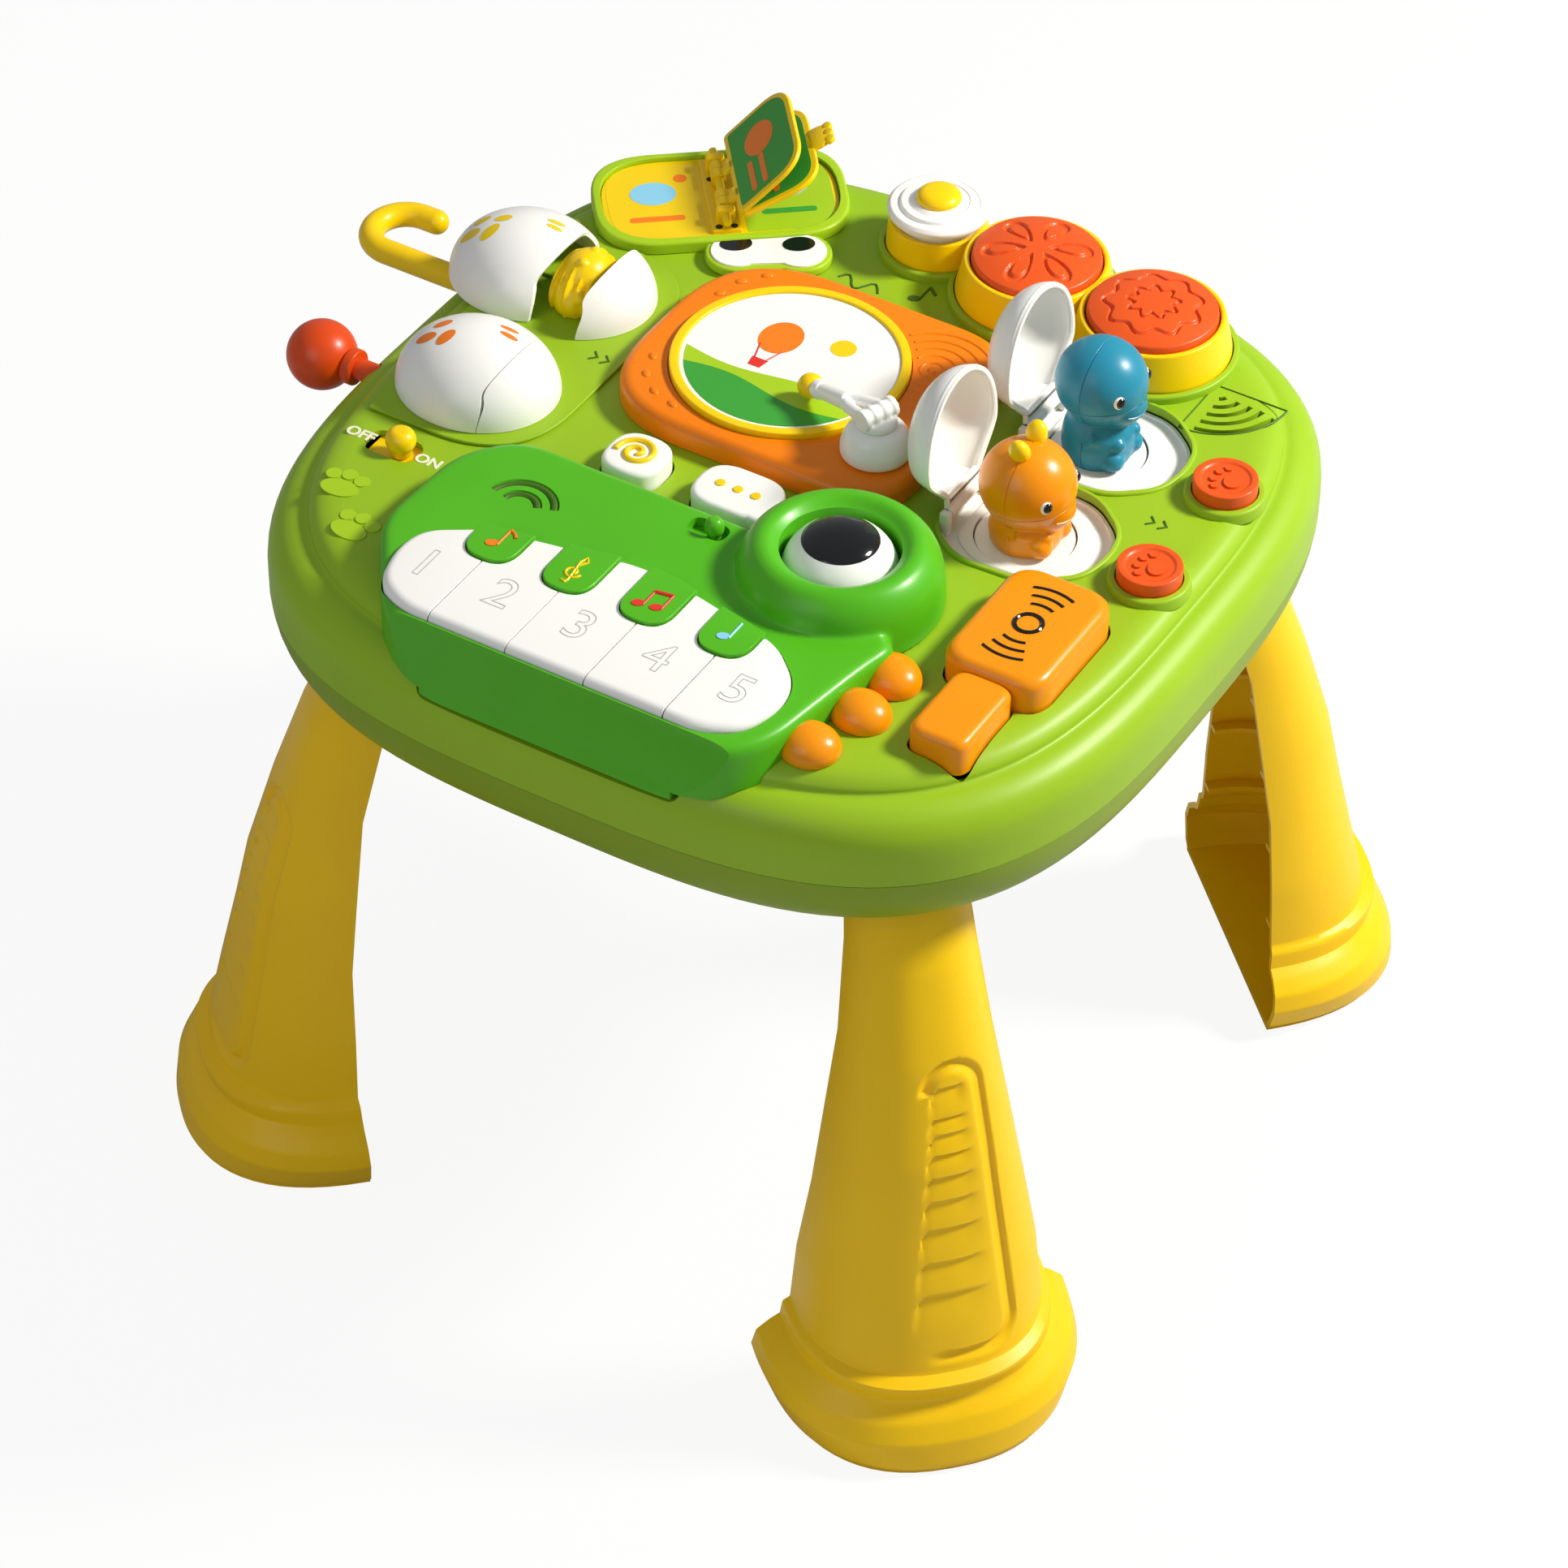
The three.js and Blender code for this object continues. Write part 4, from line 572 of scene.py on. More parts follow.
# The sunk channel round the panel, and the shingled steps inside it
def panelDepth(y, z):
    rise = min(max((z - panel["low"]) / (panel["high"] - panel["low"]), 0), 1)
    half = panel["lowHalf"] + (panel["highHalf"] - panel["lowHalf"]) * rise
    y -= panel["shift"]
    across, along, corner = half - abs(y), min(z - panel["low"], panel["high"] - z), panel["corner"]
    inside = corner - math.hypot(corner - across, corner - along) if across < corner and along < corner else min(across, along)
    if inside < -panel["groove"]:
        return 0
    open = smoothRamp(y, -half * 0.7, -half * 0.1) if z < panel["high"] - corner else 1
    groove = panel["depth"] * open * (1 - smoothRamp(abs(inside), 0.6, panel["groove"]))
    fromLeft = max(y + half - 2, 0)
    bent = z + 5 * max(1 - fromLeft / 5, 0) ** 2
    below = [(high, low) for high, low in zip(panel["ledges"], panel["ledges"][1:]) if low <= bent < high]
    if not below or inside < 2:
        return groove
    high, low = below[0]
    fall = (high - bent) / (high - low)
    field = smoothRamp(fromLeft, 0, 1.2) * (1 - smoothRamp(y, half * 0.1, half - 5))
    return groove + panel["step"] * field * smoothRamp(fall, 0, 0.1) * (1 - fall) ** 1.4


def legBody():
    bm = bmesh.new()
    bmesh.ops.create_grid(bm, x_segments=leg["columns"], y_segments=leg["rows"], size=0.5)
    for vert in bm.verts:
        turn, share = math.pi * vert.co.x, vert.co.y + 0.5
        x, y = legPoint(turn, share)
        z = share * leg["top"]
        vert.co = (x - panelDepth(y, z), y, z)
    bm.normal_update()
    middle = max(bm.faces, key=lambda face: face.calc_center_median().x)
    if middle.normal.x < 0:
        bmesh.ops.reverse_faces(bm, faces=bm.faces)
    spare = spareObject(bm)
    wall = spare.modifiers.new("wall", "SOLIDIFY")
    wall.thickness, wall.offset = leg["wall"], -1
    skin = settled(spare)
    plates = [slab(legOutline(0.01, 1), 0, leg["wall"]), slab(legOutline(0.99, 1), leg["top"] - leg["wall"], leg["top"])]
    for share in hoopShares:
        z = share * leg["top"]
        rim = slab(legOutline(share, leg["wall"] - 0.1), z, z + leg["hoopThickness"])
        hollow = slab([(x - 1, y) for x, y in legOutline(share, leg["wall"] + leg["hoop"])], z - 1, z + 5)
        plates.append(cut(rim, [hollow]))
    return joinMeshes([skin, *plates])


def legs():
    for name, angle in (("front_left", -135), ("front_right", -45), ("back_right", 45), ("back_left", 135)):
        bm = moved(legBody(), angle=math.radians(angle))
        make("leg_skin_" + name, bm, "table", legAbs, ["leg_" + name], 40)


# Crocodile piano

keys = {"first": -65, "pitch": 39, "count": 5, "bottom": 352, "top": 365.5, "soft": 4, "gap": 0.6, "digit": 26, "digitY": -170}
notes = {"width": 24, "front": -155, "top": 367, "soft": 1.2, "count": 4, "shift": 1}
claws = {"radius": 11.5, "squash": 0.85}
clawPlaces = [(113, -112.5, -20), (113.4, -139, -5), (105.5, -167.5, 10)]
eye = {"radius": 25.6, "crown": 384.5, "pupil": 17, "shift": 3}
nostril = {"x": -75, "y": -113, "radii": (16, 8.5), "line": 2.2, "from": 20, "to": 165}


def bowedSkin(points, steps=8):
    return roundOff(points, 3, steps, closed=False)


def crocHead():
    body = slab(crocOutline(), croc["chin"] - 4, croc["top"], croc["soft"], 6)
    socketEdge = mound["socket"] - gap
    ring = [(socketEdge, coverTop), (socketEdge, 374), (31, 379), (37, 378), (43, 371), (45.5, 361), (46, coverTop)]
    ridge = turned([(0, coverTop + gap), *roundOff([(0, 370), *ring[1:]], 6, 6, closed=False), (0, coverTop + gap)], mound["x"], mound["y"], 128)
    head = melted([body, ridge], 1.1, 14)
    pocket = brick(-notch["halfWidth"] + gap, notch["halfWidth"] - gap, -260, notch["front"] - gap, notch["floor"] + gap, coverTop + 4)
    under = squareOff(turned([(0, 250), (casing["halfWidth"], 250), *reversed(rimLine(-gap)), (0, coverTop + gap)], steps=casing["steps"]))
    under = cut(under, [pocket])
    chinCut = brick(-260, 260, -260, 0, parting - 6, croc["chin"])
    flanks = [brick(jaw["halfWidth"], 260, -260, notch["front"], parting, notch["floor"] + 6), brick(-260, -jaw["halfWidth"], -260, notch["front"], parting, notch["floor"] + 6)]
    lipY = croc["front"] + jaw["lipBack"]
    slope = [(lipY, jaw["lipHeight"]), (lipY - jaw["run"], jaw["lipHeight"] - jaw["drop"]), (lipY - croc["depth"], jaw["lipHeight"] - jaw["drop"]),
             (lipY - croc["depth"], croc["top"] + 6), (lipY, croc["top"] + 6)]
    slant = moved(moved(slab(roundOff(slope, 2, 3), -250, 250), angle=math.pi / 2, axis="Y"), angle=math.pi / 2, axis="X")
    socket = disk(mound["socket"], mound["floor"], mound["crown"] + 20, mound["x"], mound["y"], 96)
    opening = slab(mouthOutline(), coverTop, croc["top"] + 6)
    slot = slab(roundedBox(modeSlot["x"], modeSlot["y"], modeSlot["length"], modeSlot["width"], modeSlot["width"] / 2), croc["top"] - modeSlot["depth"], croc["top"] + 6)
    head = cut(head, [under, chinCut, *flanks, slant, socket, opening, slot, *nostrilArcs()])
    make("crocodile_skin", head, "table", grassAbs, ["crocodile_head"], 40)
    # painted shade: a dark tube sunk into the bottom of the nostril grooves
    make("crocodile_nostril_shade", moved(joinMeshes(nostrilArcs(0.75)), (0, 0, -1.3)), "table", paintedShadeAbs)


def nostrilArcs(share=1):
    arcs = []
    for radius in nostril["radii"]:
        turns = [math.radians(nostril["from"] + (nostril["to"] - nostril["from"]) * k / 16) for k in range(17)]
        line = [(nostril["x"] + radius * math.cos(t), nostril["y"] + radius * math.sin(t), croc["top"]) for t in turns]
        arcs.append(tube(line, nostril["line"] * share))
    return arcs


def eyeball():
    low = mound["floor"] + gap
    high = eye["crown"]
    dome = [(0, low), (eye["radius"] * 0.93, low)]
    for k in range(25):
        t = math.pi / 2 * k / 24
        dome.append((eye["radius"] * math.cos(t), low + 10 + (high - low - 10) * math.sin(t)))
    make("eyeball_dome", turned(dome, mound["x"], mound["y"], 128), "table", whiteAbs, ["crocodile_eyeball"], 60)
    pupil = [(0, high - 8)]
    for k in range(19):
        r = eye["pupil"] * (1 - k / 18)
        rise = (high - low - 10) * math.sqrt(1 - (r / eye["radius"]) ** 2)
        pupil.append((r, low + 10 + rise + 0.35 * smoothRamp(eye["pupil"] - r, 0, 0.8)))
    make("eyeball_pupil", turned(pupil, mound["x"], mound["y"], 96), "table", blackInk, angle=60)


def clawTips():
    parts = []
    for x, y, lean in clawPlaces:
        tip = ball(claws["radius"], (0, 0, 0), (1.2, 1.06, claws["squash"]), 56)
        parts.append(moved(tip, (x, y, coverTop + gap + 1.5), math.radians(lean)))
    under = squareOff(turned([(0, 250), (casing["halfWidth"], 250), *reversed(rimLine(-gap)), (0, coverTop + gap)], steps=casing["steps"]))
    make("claw_tips", cut(fused(parts), [under]), "table", amberAbs, ["crocodile_claw"], 50)


def noteOutline(index, grow=0):
    x = keys["first"] + index * keys["pitch"] - notes["shift"]
    half = notes["width"] / 2 + grow
    back = mouth["front"] + mouth["depth"] + overrun
    points = [(x - half, back), (x - half, notes["front"] - grow), (x + half, notes["front"] - grow), (x + half, back)]
    return roundOff(points, [2, half, half, 2], 10)


def pianoKeys():
    for i in range(keys["count"]):
        bed = slab(mouthOutline(keys["gap"]), keys["bottom"], keys["top"], keys["soft"], 6)
        left = mouth["left"] - overrun if i == 0 else keys["first"] + (i - 1) * keys["pitch"] + gap
        right = mouth["left"] + mouth["width"] + overrun if i == keys["count"] - 1 else keys["first"] + i * keys["pitch"] - gap
        strip = brick(left, right, mouth["front"] - 6, mouth["front"] + mouth["depth"] + 6, keys["bottom"] - 6, keys["top"] + 6)
        key = combine(bed, [strip], "INTERSECT")
        key = cut(key, [slab(noteOutline(k, keys["gap"]), keys["bottom"] - 6, keys["top"] + 6) for k in range(notes["count"])])
        name = f"piano_key_{i + 1}"
        make(f"key_cap_{i + 1}", key, name, whiteAbs, [name], 35, 0.8)
        x = keys["first"] + (i - 0.5) * keys["pitch"]
        # the digits' engraved outlines, with their shade painted as thin grey lines
        digit = lettering(str(i + 1), keys["digit"], x, keys["digitY"], keys["top"] - 0.25, 0, outlineRadius=0.42)
        make(f"key_digit_{i + 1}", digit, name, digitShadeGrey)
    for i in range(notes["count"]):
        bed = slab(mouthOutline(keys["gap"]), keys["bottom"], notes["top"], notes["soft"], 4)
        pad = combine(bed, [slab(noteOutline(i), keys["bottom"] - 6, notes["top"] + 6)], "INTERSECT")
        name = f"note_button_{i + 1}"
        make(f"note_cap_{i + 1}", pad, name, grassAbs, [name], 35, 0.8)
        x = keys["first"] + i * keys["pitch"] - notes["shift"]
        make(f"note_sign_{i + 1}", noteSign(i, x, -141, notes["top"]), name, (orangeInk, yellowInk, redInk, blueInk)[i])


def noteHead(x, y, z, turn=0.4):
    return moved(slab([(2.9 * math.cos(t), 2.1 * math.sin(t)) for t in [k * math.pi / 12 for k in range(24)]], 0, 0.35), (x, y, z), turn)


def noteSign(index, x, y, z):
    stem = lambda a, b, c, d: tube([(a, b, z), (c, d, z)], 0.6)
    if index == 0:
        flag = [(x + 1.6, y + 7.4, z), (x + 4.6, y + 5.8, z), (x + 6.4, y + 3.6, z)]
        return joinMeshes([noteHead(x - 1, y - 4, z), stem(x + 1.6, y - 4, x + 1.6, y + 7.4), tube(flag, 0.8)])
    if index == 1:
        curl = []
        for k in range(34):
            t = k / 33
            angle = -1.2 + t * 7.4
            reach = 1.2 + 2.9 * t
            curl.append((x + reach * math.cos(angle), y - 2 + reach * math.sin(angle), z))
        spine = [(x - 1.6, y - 8.6, z), (x + 0.4, y - 9.2, z), (x + 1, y - 7.6, z), (x - 0.6, y + 5, z), (x + 0.8, y + 9, z), (x + 2.4, y + 6.4, z), (x, y + 2.6, z)]
        return joinMeshes([tube(curl, 0.65), tube(spine, 0.65)])
    if index == 2:
        heads = [noteHead(x - 4.6, y - 4.6, z), noteHead(x + 3.6, y - 3.2, z)]
        beam = tube([(x - 2.2, y + 5.4, z), (x + 6, y + 6.8, z)], 1.0)
        return joinMeshes([*heads, beam, stem(x - 2.2, y - 4.6, x - 2.2, y + 5.4), stem(x + 6, y - 3.2, x + 6, y + 6.8)])
    return joinMeshes([noteHead(x - 1.6, y - 4, z), stem(x + 1, y - 4, x + 1, y + 7)])


def knob(radius, low, height, x, y):
    points = [(0, low), (0.7 * radius, low), (0.72 * radius, low + 0.3 * height), (radius, low + 0.45 * height),
              (0.98 * radius, low + 0.78 * height), (0.55 * radius, low + height), (0, low + height)]
    return lathe(points, x, y, 2.2, 64)


def switches():
    low = croc["top"] - modeSlot["depth"] + gap
    make("mode_knob_cap", knob(4.4, low, 12, modeSlot["x"] + 3, modeSlot["y"]), "mode_knob", grassAbs, ["mode_knob"], 50)
    x = powerSlot["x"] + powerSlot["knob"]
    top = coverTop - casing["wall"]
    plate = slab(roundedBox(x, powerSlot["y"], 30, 21, 4), top - gap - 2, top - gap)
    make("power_knob_cap", joinMeshes([knob(7, top, 14, x, powerSlot["y"]), plate]), "power_knob", yellowAbs, ["power_knob"], 50)
    make("power_off_mark", lettering("OFF", 8.2, -172.5, -92.5, coverTop, 0.25), "table", creamInk)
    make("power_on_mark", lettering("ON", 8.2, -136, -93, coverTop, 0.25), "table", creamInk)


# Press buttons

def pawMark(x, y, z, size, thick, turn=0.0):
    parts = [slab([(size * 0.55 * math.cos(t), size * 0.45 * math.sin(t) - size * 0.3) for t in [k * math.pi / 16 for k in range(32)]], -thick, thick)]
    for angle in (30, 70, 110, 150):
        a = math.radians(angle)
        parts.append(slab(circle(size * 0.85 * math.cos(a), size * 0.62 * math.sin(a), size * 0.2, 20), -thick, thick))
    return moved(joinMeshes(parts), (x, y, z), turn)


def pressButtons():
    low = coverTop - plunger
    high = coverTop + spiral["rise"]
    make("spiral_cap", slab(spiralOutline(), low, high, spiral["soft"], 6), "spiral_button", whiteAbs, ["spiral_button"], 50)
    curl = []
    for k in range(60):
        t = k / 59
        angle = -0.9 + 10.6 * t
        curl.append((spiral["x"] + (1.2 + 8.6 * t) * math.cos(angle), spiral["y"] + (1.2 + 8.6 * t) * math.sin(angle), high))
    make("spiral_mark", tube(curl, 1.5), "spiral_button", yellowInk)
    high = coverTop + speech["rise"]
    tail = slab(roundedBox(speech["x"] + 16, speech["y"] - 8, 16, 12, 6), coverTop + 4.2, high, speech["soft"])
    bubble = fused([slab(speechOutline(), low, high, speech["soft"], 6), tail])
    make("speech_cap", bubble, "speech_button", whiteAbs, ["speech_button"], 50)
    dots = [lathe([(0, high - 1), (2.4, high - 1), (2.4, high + 0.5), (0, high + 0.5)], speech["x"] + dx, speech["y"], 0.5, 32) for dx in (-9, 0, 9)]
    make("speech_dots", joinMeshes(dots), "speech_button", yellowInk)
    for side in ("back", "front"):
        y, high = paw[side + "Y"], coverTop + paw["rise"]
        r = paw["radius"]
        cap = lathe([(0, low), (r, low), (r, high), (r - 3, high), (r - 3.9, high - 0.9), (0, high - 0.9)], paw["x"], y, 0.8)
        name = "paw_button_" + side
        make("paw_cap_" + side, cap, name, coralAbs, [name], 50)
        make("paw_mark_" + side, pawMark(paw["x"] + 1, y, high - 0.9, 9.5, 1.0, math.pi / 2), name, coralAbs, angle=30)
    body = slab(roundedBox(sound["x"], sound["y"], sound["width"], sound["length"], sound["corner"], 12), low, coverTop + sound["rise"], sound["soft"], 8)
    tail = slab(roundedBox(soundTail["x"], soundTail["y"], soundTail["width"], soundTail["length"], soundTail["corner"], 10), low, coverTop + soundTail["rise"], soundTail["soft"], 8)
    make("sound_cap", fused([body, tail]), "sound_pad", amberAbs, ["sound_pad"], 35, 0.4)
    high = coverTop + sound["rise"] - 0.1
    x, y = sound["x"], sound["y"]
    marks = [tube([(x + 6 * math.cos(t), y + 6 * math.sin(t), high) for t in [k * math.pi / 16 for k in range(32)]], 1.1, True)]
    for reach in (13, 18.5, 24):
        for base in (0, math.pi):
            turns = [base - 0.42 + 0.84 * k / 10 for k in range(11)]
            marks.append(tube([(x + reach * math.sin(t), y + reach * math.cos(t), high) for t in turns], 0.8))
    make("sound_mark", joinMeshes(marks), "sound_pad", blackInk)


# Drums

# Two large drums stand close, so their cups have flat sides there
def neighbourBlocks(one):
    blocks = []
    for other in drums.values():
        dx, dy = other["x"] - one["x"], other["y"] - one["y"]
        distance = math.hypot(dx, dy)
        near = max(distance / 2, distance - other["radius"]) - gap
        if other is not one and near < one["radius"]:
            blocks.append(moved(brick(near, near + 80, -80, 80, 250, 420), (one["x"], one["y"], 0), math.atan2(dy, dx)))
    return blocks


def drumPads():
    for name, one in drums.items():
        x, y, radius, rim = one["x"], one["y"], one["radius"], one["rim"]
        low, inner = coverTop + gap, radius - drum["wall"] - one["taper"]
        bore = drum["stem"] + runningGap
        profile = [(bore, low), (radius - 0.5, low), (radius - 0.3, low + 4), (radius - one["taper"], rim), (inner, rim),
                   (inner, low + drum["bottom"]), (bore, low + drum["bottom"]), (bore, low)]
        bowl = cut(lathe(profile, x, y, 1.1, 128), neighbourBlocks(one))
        make("drum_bowl_" + name, bowl, "table", yellowAbs, ["drum_cup_" + name], 50)
        body = "drum_pad_" + name
        edge, foot = inner - runningGap, coverTop - plunger
        stem = [(0, foot), (drum["stem"], foot), (drum["stem"], rim - 5), (edge, rim - 5)]
        if name == "left":
            base = rim + gap + 3
            high, wide, yolk = base + friedEgg["thickness"], friedEgg["radius"], friedEgg["yolk"]
            skin = [(edge, base), (wide - 0.6, base), (wide, base + 1.6), (wide, base + 3), (wide - 1.6, base + 4.6), (wide - 4.6, base + 4.8), (wide - 5, base + 4.2),
                    (wide - 5.8, base + 4.4), (wide - 6.4, base + 6), (wide - 9.4, base + 6.2), (wide - 9.8, base + 5.6), (wide - 10.4, base + 5.8), (yolk + 0.6, high), (0, high)]
            make("drum_face_left", turned([*stem, *roundOff(skin, 0.5, 4, closed=False)], x, y, 128), body, whiteAbs, [body], 50)
            crown = [(0, high - 1), (yolk - 0.6, high - 1), (yolk - 0.4, high + 2), (yolk - 3.4, high + friedEgg["yolkRise"] - 0.6), (0, high + friedEgg["yolkRise"])]
            make("drum_yolk", lathe(crown, x, y, 3, 64), body, yellowAbs, angle=50)
            continue
        crown = [(edge, rim - 0.3), (edge * 0.985, rim + 1.6)]
        crown += [(edge * 0.97 * (1 - k / 80), rim + 2.4 + 4.1 * (1 - (1 - k / 80) ** 2.6)) for k in range(81)]
        pad = turned([*stem, *crown], x, y, 288)
        make("drum_face_" + name, dent(pad, citrusGroove if name == "middle" else starGroove, x, y), body, coralAbs, [body], 50)


def groove(distance, half=1.1, depth=1.3):
    return depth * (1 - smoothRamp(abs(distance), half * 0.35, half))


def citrusGroove(x, y):
    radius, angle = math.hypot(x, y), math.atan2(y, x)
    turn = (angle % (math.pi / 3)) - math.pi / 6
    side = abs(radius * math.sin(turn))
    along = (radius * math.cos(turn) - 15.5) / 8.4
    half = 2.2 + 3.2 * (along + 1) / 2
    ring = math.hypot(side / max(half, 0.1), along) - 1
    return groove(ring * 4)


def starGroove(x, y):
    radius, angle = math.hypot(x, y), math.atan2(y, x)
    outer = radius - 21 - 1.9 * math.cos(9 * angle)
    inner = radius - 10.5 - 1.7 * math.cos(9 * angle + 1)
    return groove(outer) + groove(inner)


# Turntable

deck = {"left": -98, "right": 58, "front": -26, "back": 105, "top": 359, "soft": 5}
post = {"x": 36, "y": 4, "radius": 16, "top": 375}
armTip = {"x": -6.5, "y": 19, "height": 368.6, "radius": 6}
studs = [(-83.2, 67), (-79.7, 79.7), (-71.9, 89.7), (-84.1, 11.2), (-79.9, -1.3), (-70.1, -10.1), (-58.2, -14)]
waves = {"x": 27.7, "y": 68.2, "radii": (5.5, 11, 16.5, 22, 27.5), "line": 0.9}


def turntable():
    corners = [(deck["left"], deck["front"]), (deck["right"], deck["front"]), (deck["right"], deck["back"]), (deck["left"], deck["back"])]
    plinth = slab(roundOff(corners, [50, 28, 36, 54], 14), coverTop + gap, deck["top"], deck["soft"], 7)
    well = disk(disc["radius"] + runningGap, disc["floor"] - runningGap, deck["top"] + 6, disc["x"], disc["y"], 128)
    base = cut(plinth, [well, disk(5.6, coverTop - 6, deck["top"] + 6, disc["x"], disc["y"])])
    make("turntable_plinth", base, "table", orangeAbs, ["turntable_base"], 35, 0.5)
    dots = [moved(ball(2, (0, 0, 0), (1.5, 1, 0.5), 20), (x, y, deck["top"]), math.atan2(y - disc["y"], x - disc["x"]) + math.pi / 2) for x, y in studs]
    for radius in waves["radii"]:
        run = []
        for k in range(97):
            t = math.radians(-140 + 360 * k / 96)
            x, y = waves["x"] + radius * math.cos(t), waves["y"] + radius * math.sin(t)
            if math.hypot(x - disc["x"], y - disc["y"]) > disc["radius"] + 3 and x < deck["right"] - 5 and x + y < 139:
                run.append((x, y, deck["top"] - 0.3))
            elif len(run) > 3:
                dots.append(tube(run, waves["line"]))
                run = []
            else:
                run = []
        if len(run) > 3:
            dots.append(tube(run, waves["line"]))
    dots.append(ball(2.2, (waves["x"], waves["y"], deck["top"]), (1, 1, 0.5), 20))
    make("turntable_studs", joinMeshes(dots), "table", orangeAbs)
    r, top = disc["radius"], disc["top"]
    ring = [(r - disc["rim"], disc["floor"]), (r, disc["floor"]), (r, top), (r - disc["rim"], top), (r - disc["rim"], disc["floor"])]
    make("disc_ring", lathe(ring, disc["x"], disc["y"], 0.9, 160), "turntable_disc", yellowAbs, ["turntable_disc"], 50)
    face = [(0, disc["floor"] - 6), (5, disc["floor"] - 6), (5, disc["floor"]), (r - disc["rim"] - 0.1, disc["floor"]), (r - disc["rim"] - 0.1, top - 1.2), (0, top - 1.2)]
    make("disc_face", turned(face, disc["x"], disc["y"], 128), "turntable_disc", whiteAbs, angle=40)
    discPicture(top - 1.2)
    low = deck["top"] + gap
    r = post["radius"]
    shell = lathe([(0, low), (r, low), (r, low + 6), (r - 2.6, post["top"] - 3), (r - 6.5, post["top"]), (0, post["top"])], post["x"], post["y"], 2.4, 96)
    make("arm_post", shell, "table", whiteAbs, ["tonearm_post"], 50)
    tonearm()


# A plain picture of hills, a balloon with its basket and ropes, and a sun, printed on the disc
def discPicture(z):
    cx, cy, r = disc["x"], disc["y"], disc["radius"] - disc["rim"] - 2

    def film(outline, material, slotName, name, lift):
        make(name, slab([(cx + x, cy + y) for x, y in outline], z - 0.2, z + lift), "turntable_disc", material)

    def chord(low, bulge, steps=24):
        width = math.sqrt(r * r - low * low)
        top = [(width - 2 * width * k / steps, low + bulge * math.sin(math.pi * 2 * k / steps)) for k in range(steps + 1)]
        start, end = math.atan2(low, -width), math.atan2(low, width)
        return top + [(r * math.cos(a), r * math.sin(a)) for a in [start + (end + 2 * math.pi - start) % (2 * math.pi) * k / steps for k in range(1, steps)]]

    film(chord(-14, 3), leafAbs, "leaf_abs", "disc_far_hill", 0.12)
    film(chord(-25, -3), greenInk, "grass_abs", "disc_near_hill", 0.18)
    film([(-12 + 10 * math.cos(t), 12 + 12 * math.sin(t)) for t in [k * math.pi / 20 for k in range(40)]], orangeInk, "orange_abs", "disc_balloon", 0.14)
    film([(-16, -6), (-8, -6), (-9, -12), (-15, -12)], redInk, "coral_abs", "disc_basket", 0.2)
    film([(16 + 6 * math.cos(t), 20 + 6 * math.sin(t)) for t in [k * math.pi / 16 for k in range(32)]], yellowInk, "yellow_abs", "disc_sun", 0.14)
    lines = [tube([(cx - 18, cy + 4, z), (cx - 15, cy - 6, z)], 0.4), tube([(cx - 6, cy + 4, z), (cx - 9, cy - 6, z)], 0.4)]
    make("disc_ropes", joinMeshes(lines), "turntable_disc", redInk)


def tonearm():
    low = post["top"] + gap
    x, y = post["x"], post["y"]
    root = Vector((x, y, low + 5.4))
    tip = Vector((armTip["x"], armTip["y"], armTip["height"]))
    side = Vector((-(tip - root).y, (tip - root).x, 0)).normalized()
    along = (tip - root).normalized()
    parts = [lathe([(0, low), (9.6, low), (9, low + 3.4), (0, low + 3.4)], x, y, 1, 64)]
    parts.append(rod(4.2, root - side * 9, root + side * 9))
    parts += [rod(5, root + side * (s - 1.3), root + side * (s + 1.3)) for s in (-8, -2.8, 2.8, 8)]
    neck = root.lerp(tip, 0.5)
    parts += [tube([root + side * s * 5.6 - along * 3, root + side * s * 5.4 + along * 6, root + side * s * 3.6 + along * 15, neck], 3, sides=5) for s in (-1, 1)]
    parts += [rod(4.4, neck - along * 3, tip, 3.6), rod(4.6, tip - along * 8.5, tip - along * 4.4, 4.6)]
    make("arm_body", melted(parts, 0.5, 4), "tonearm", whiteAbs, ["tonearm"], 60)
    make("arm_bobble", ball(armTip["radius"], tip, (1, 1, 0.97), 48), "tonearm", yellowAbs, angle=60)


# Book

book = {"x": -128, "y": 138.9, "turn": 0.677, "length": 120, "width": 72, "corner": 30, "rim": 353.5, "wall": 4, "base": 349.5, "top": 351.5}
leaf = {"start": 8, "length": 41, "half": 31, "thickness": 2, "corner": 16, "pin": 357.5}
bookLug = {"width": 9, "thickness": 5, "reach": 18.5, "top": 361}


def bookPlace(bm, rise=0.0, height=0.0):
    bmesh.ops.rotate(bm, verts=bm.verts, cent=(0, 0, 0), matrix=Matrix.Rotation(-rise, 3, "Y"))
    bmesh.ops.translate(bm, verts=bm.verts, vec=(0, 0, height))
    return moved(bm, (book["x"], book["y"], 0), book["turn"])


def bookOutline(inset=0):
    return roundedBox(0, 0, book["length"] - 2 * inset, book["width"] - 2 * inset, book["corner"], 14)


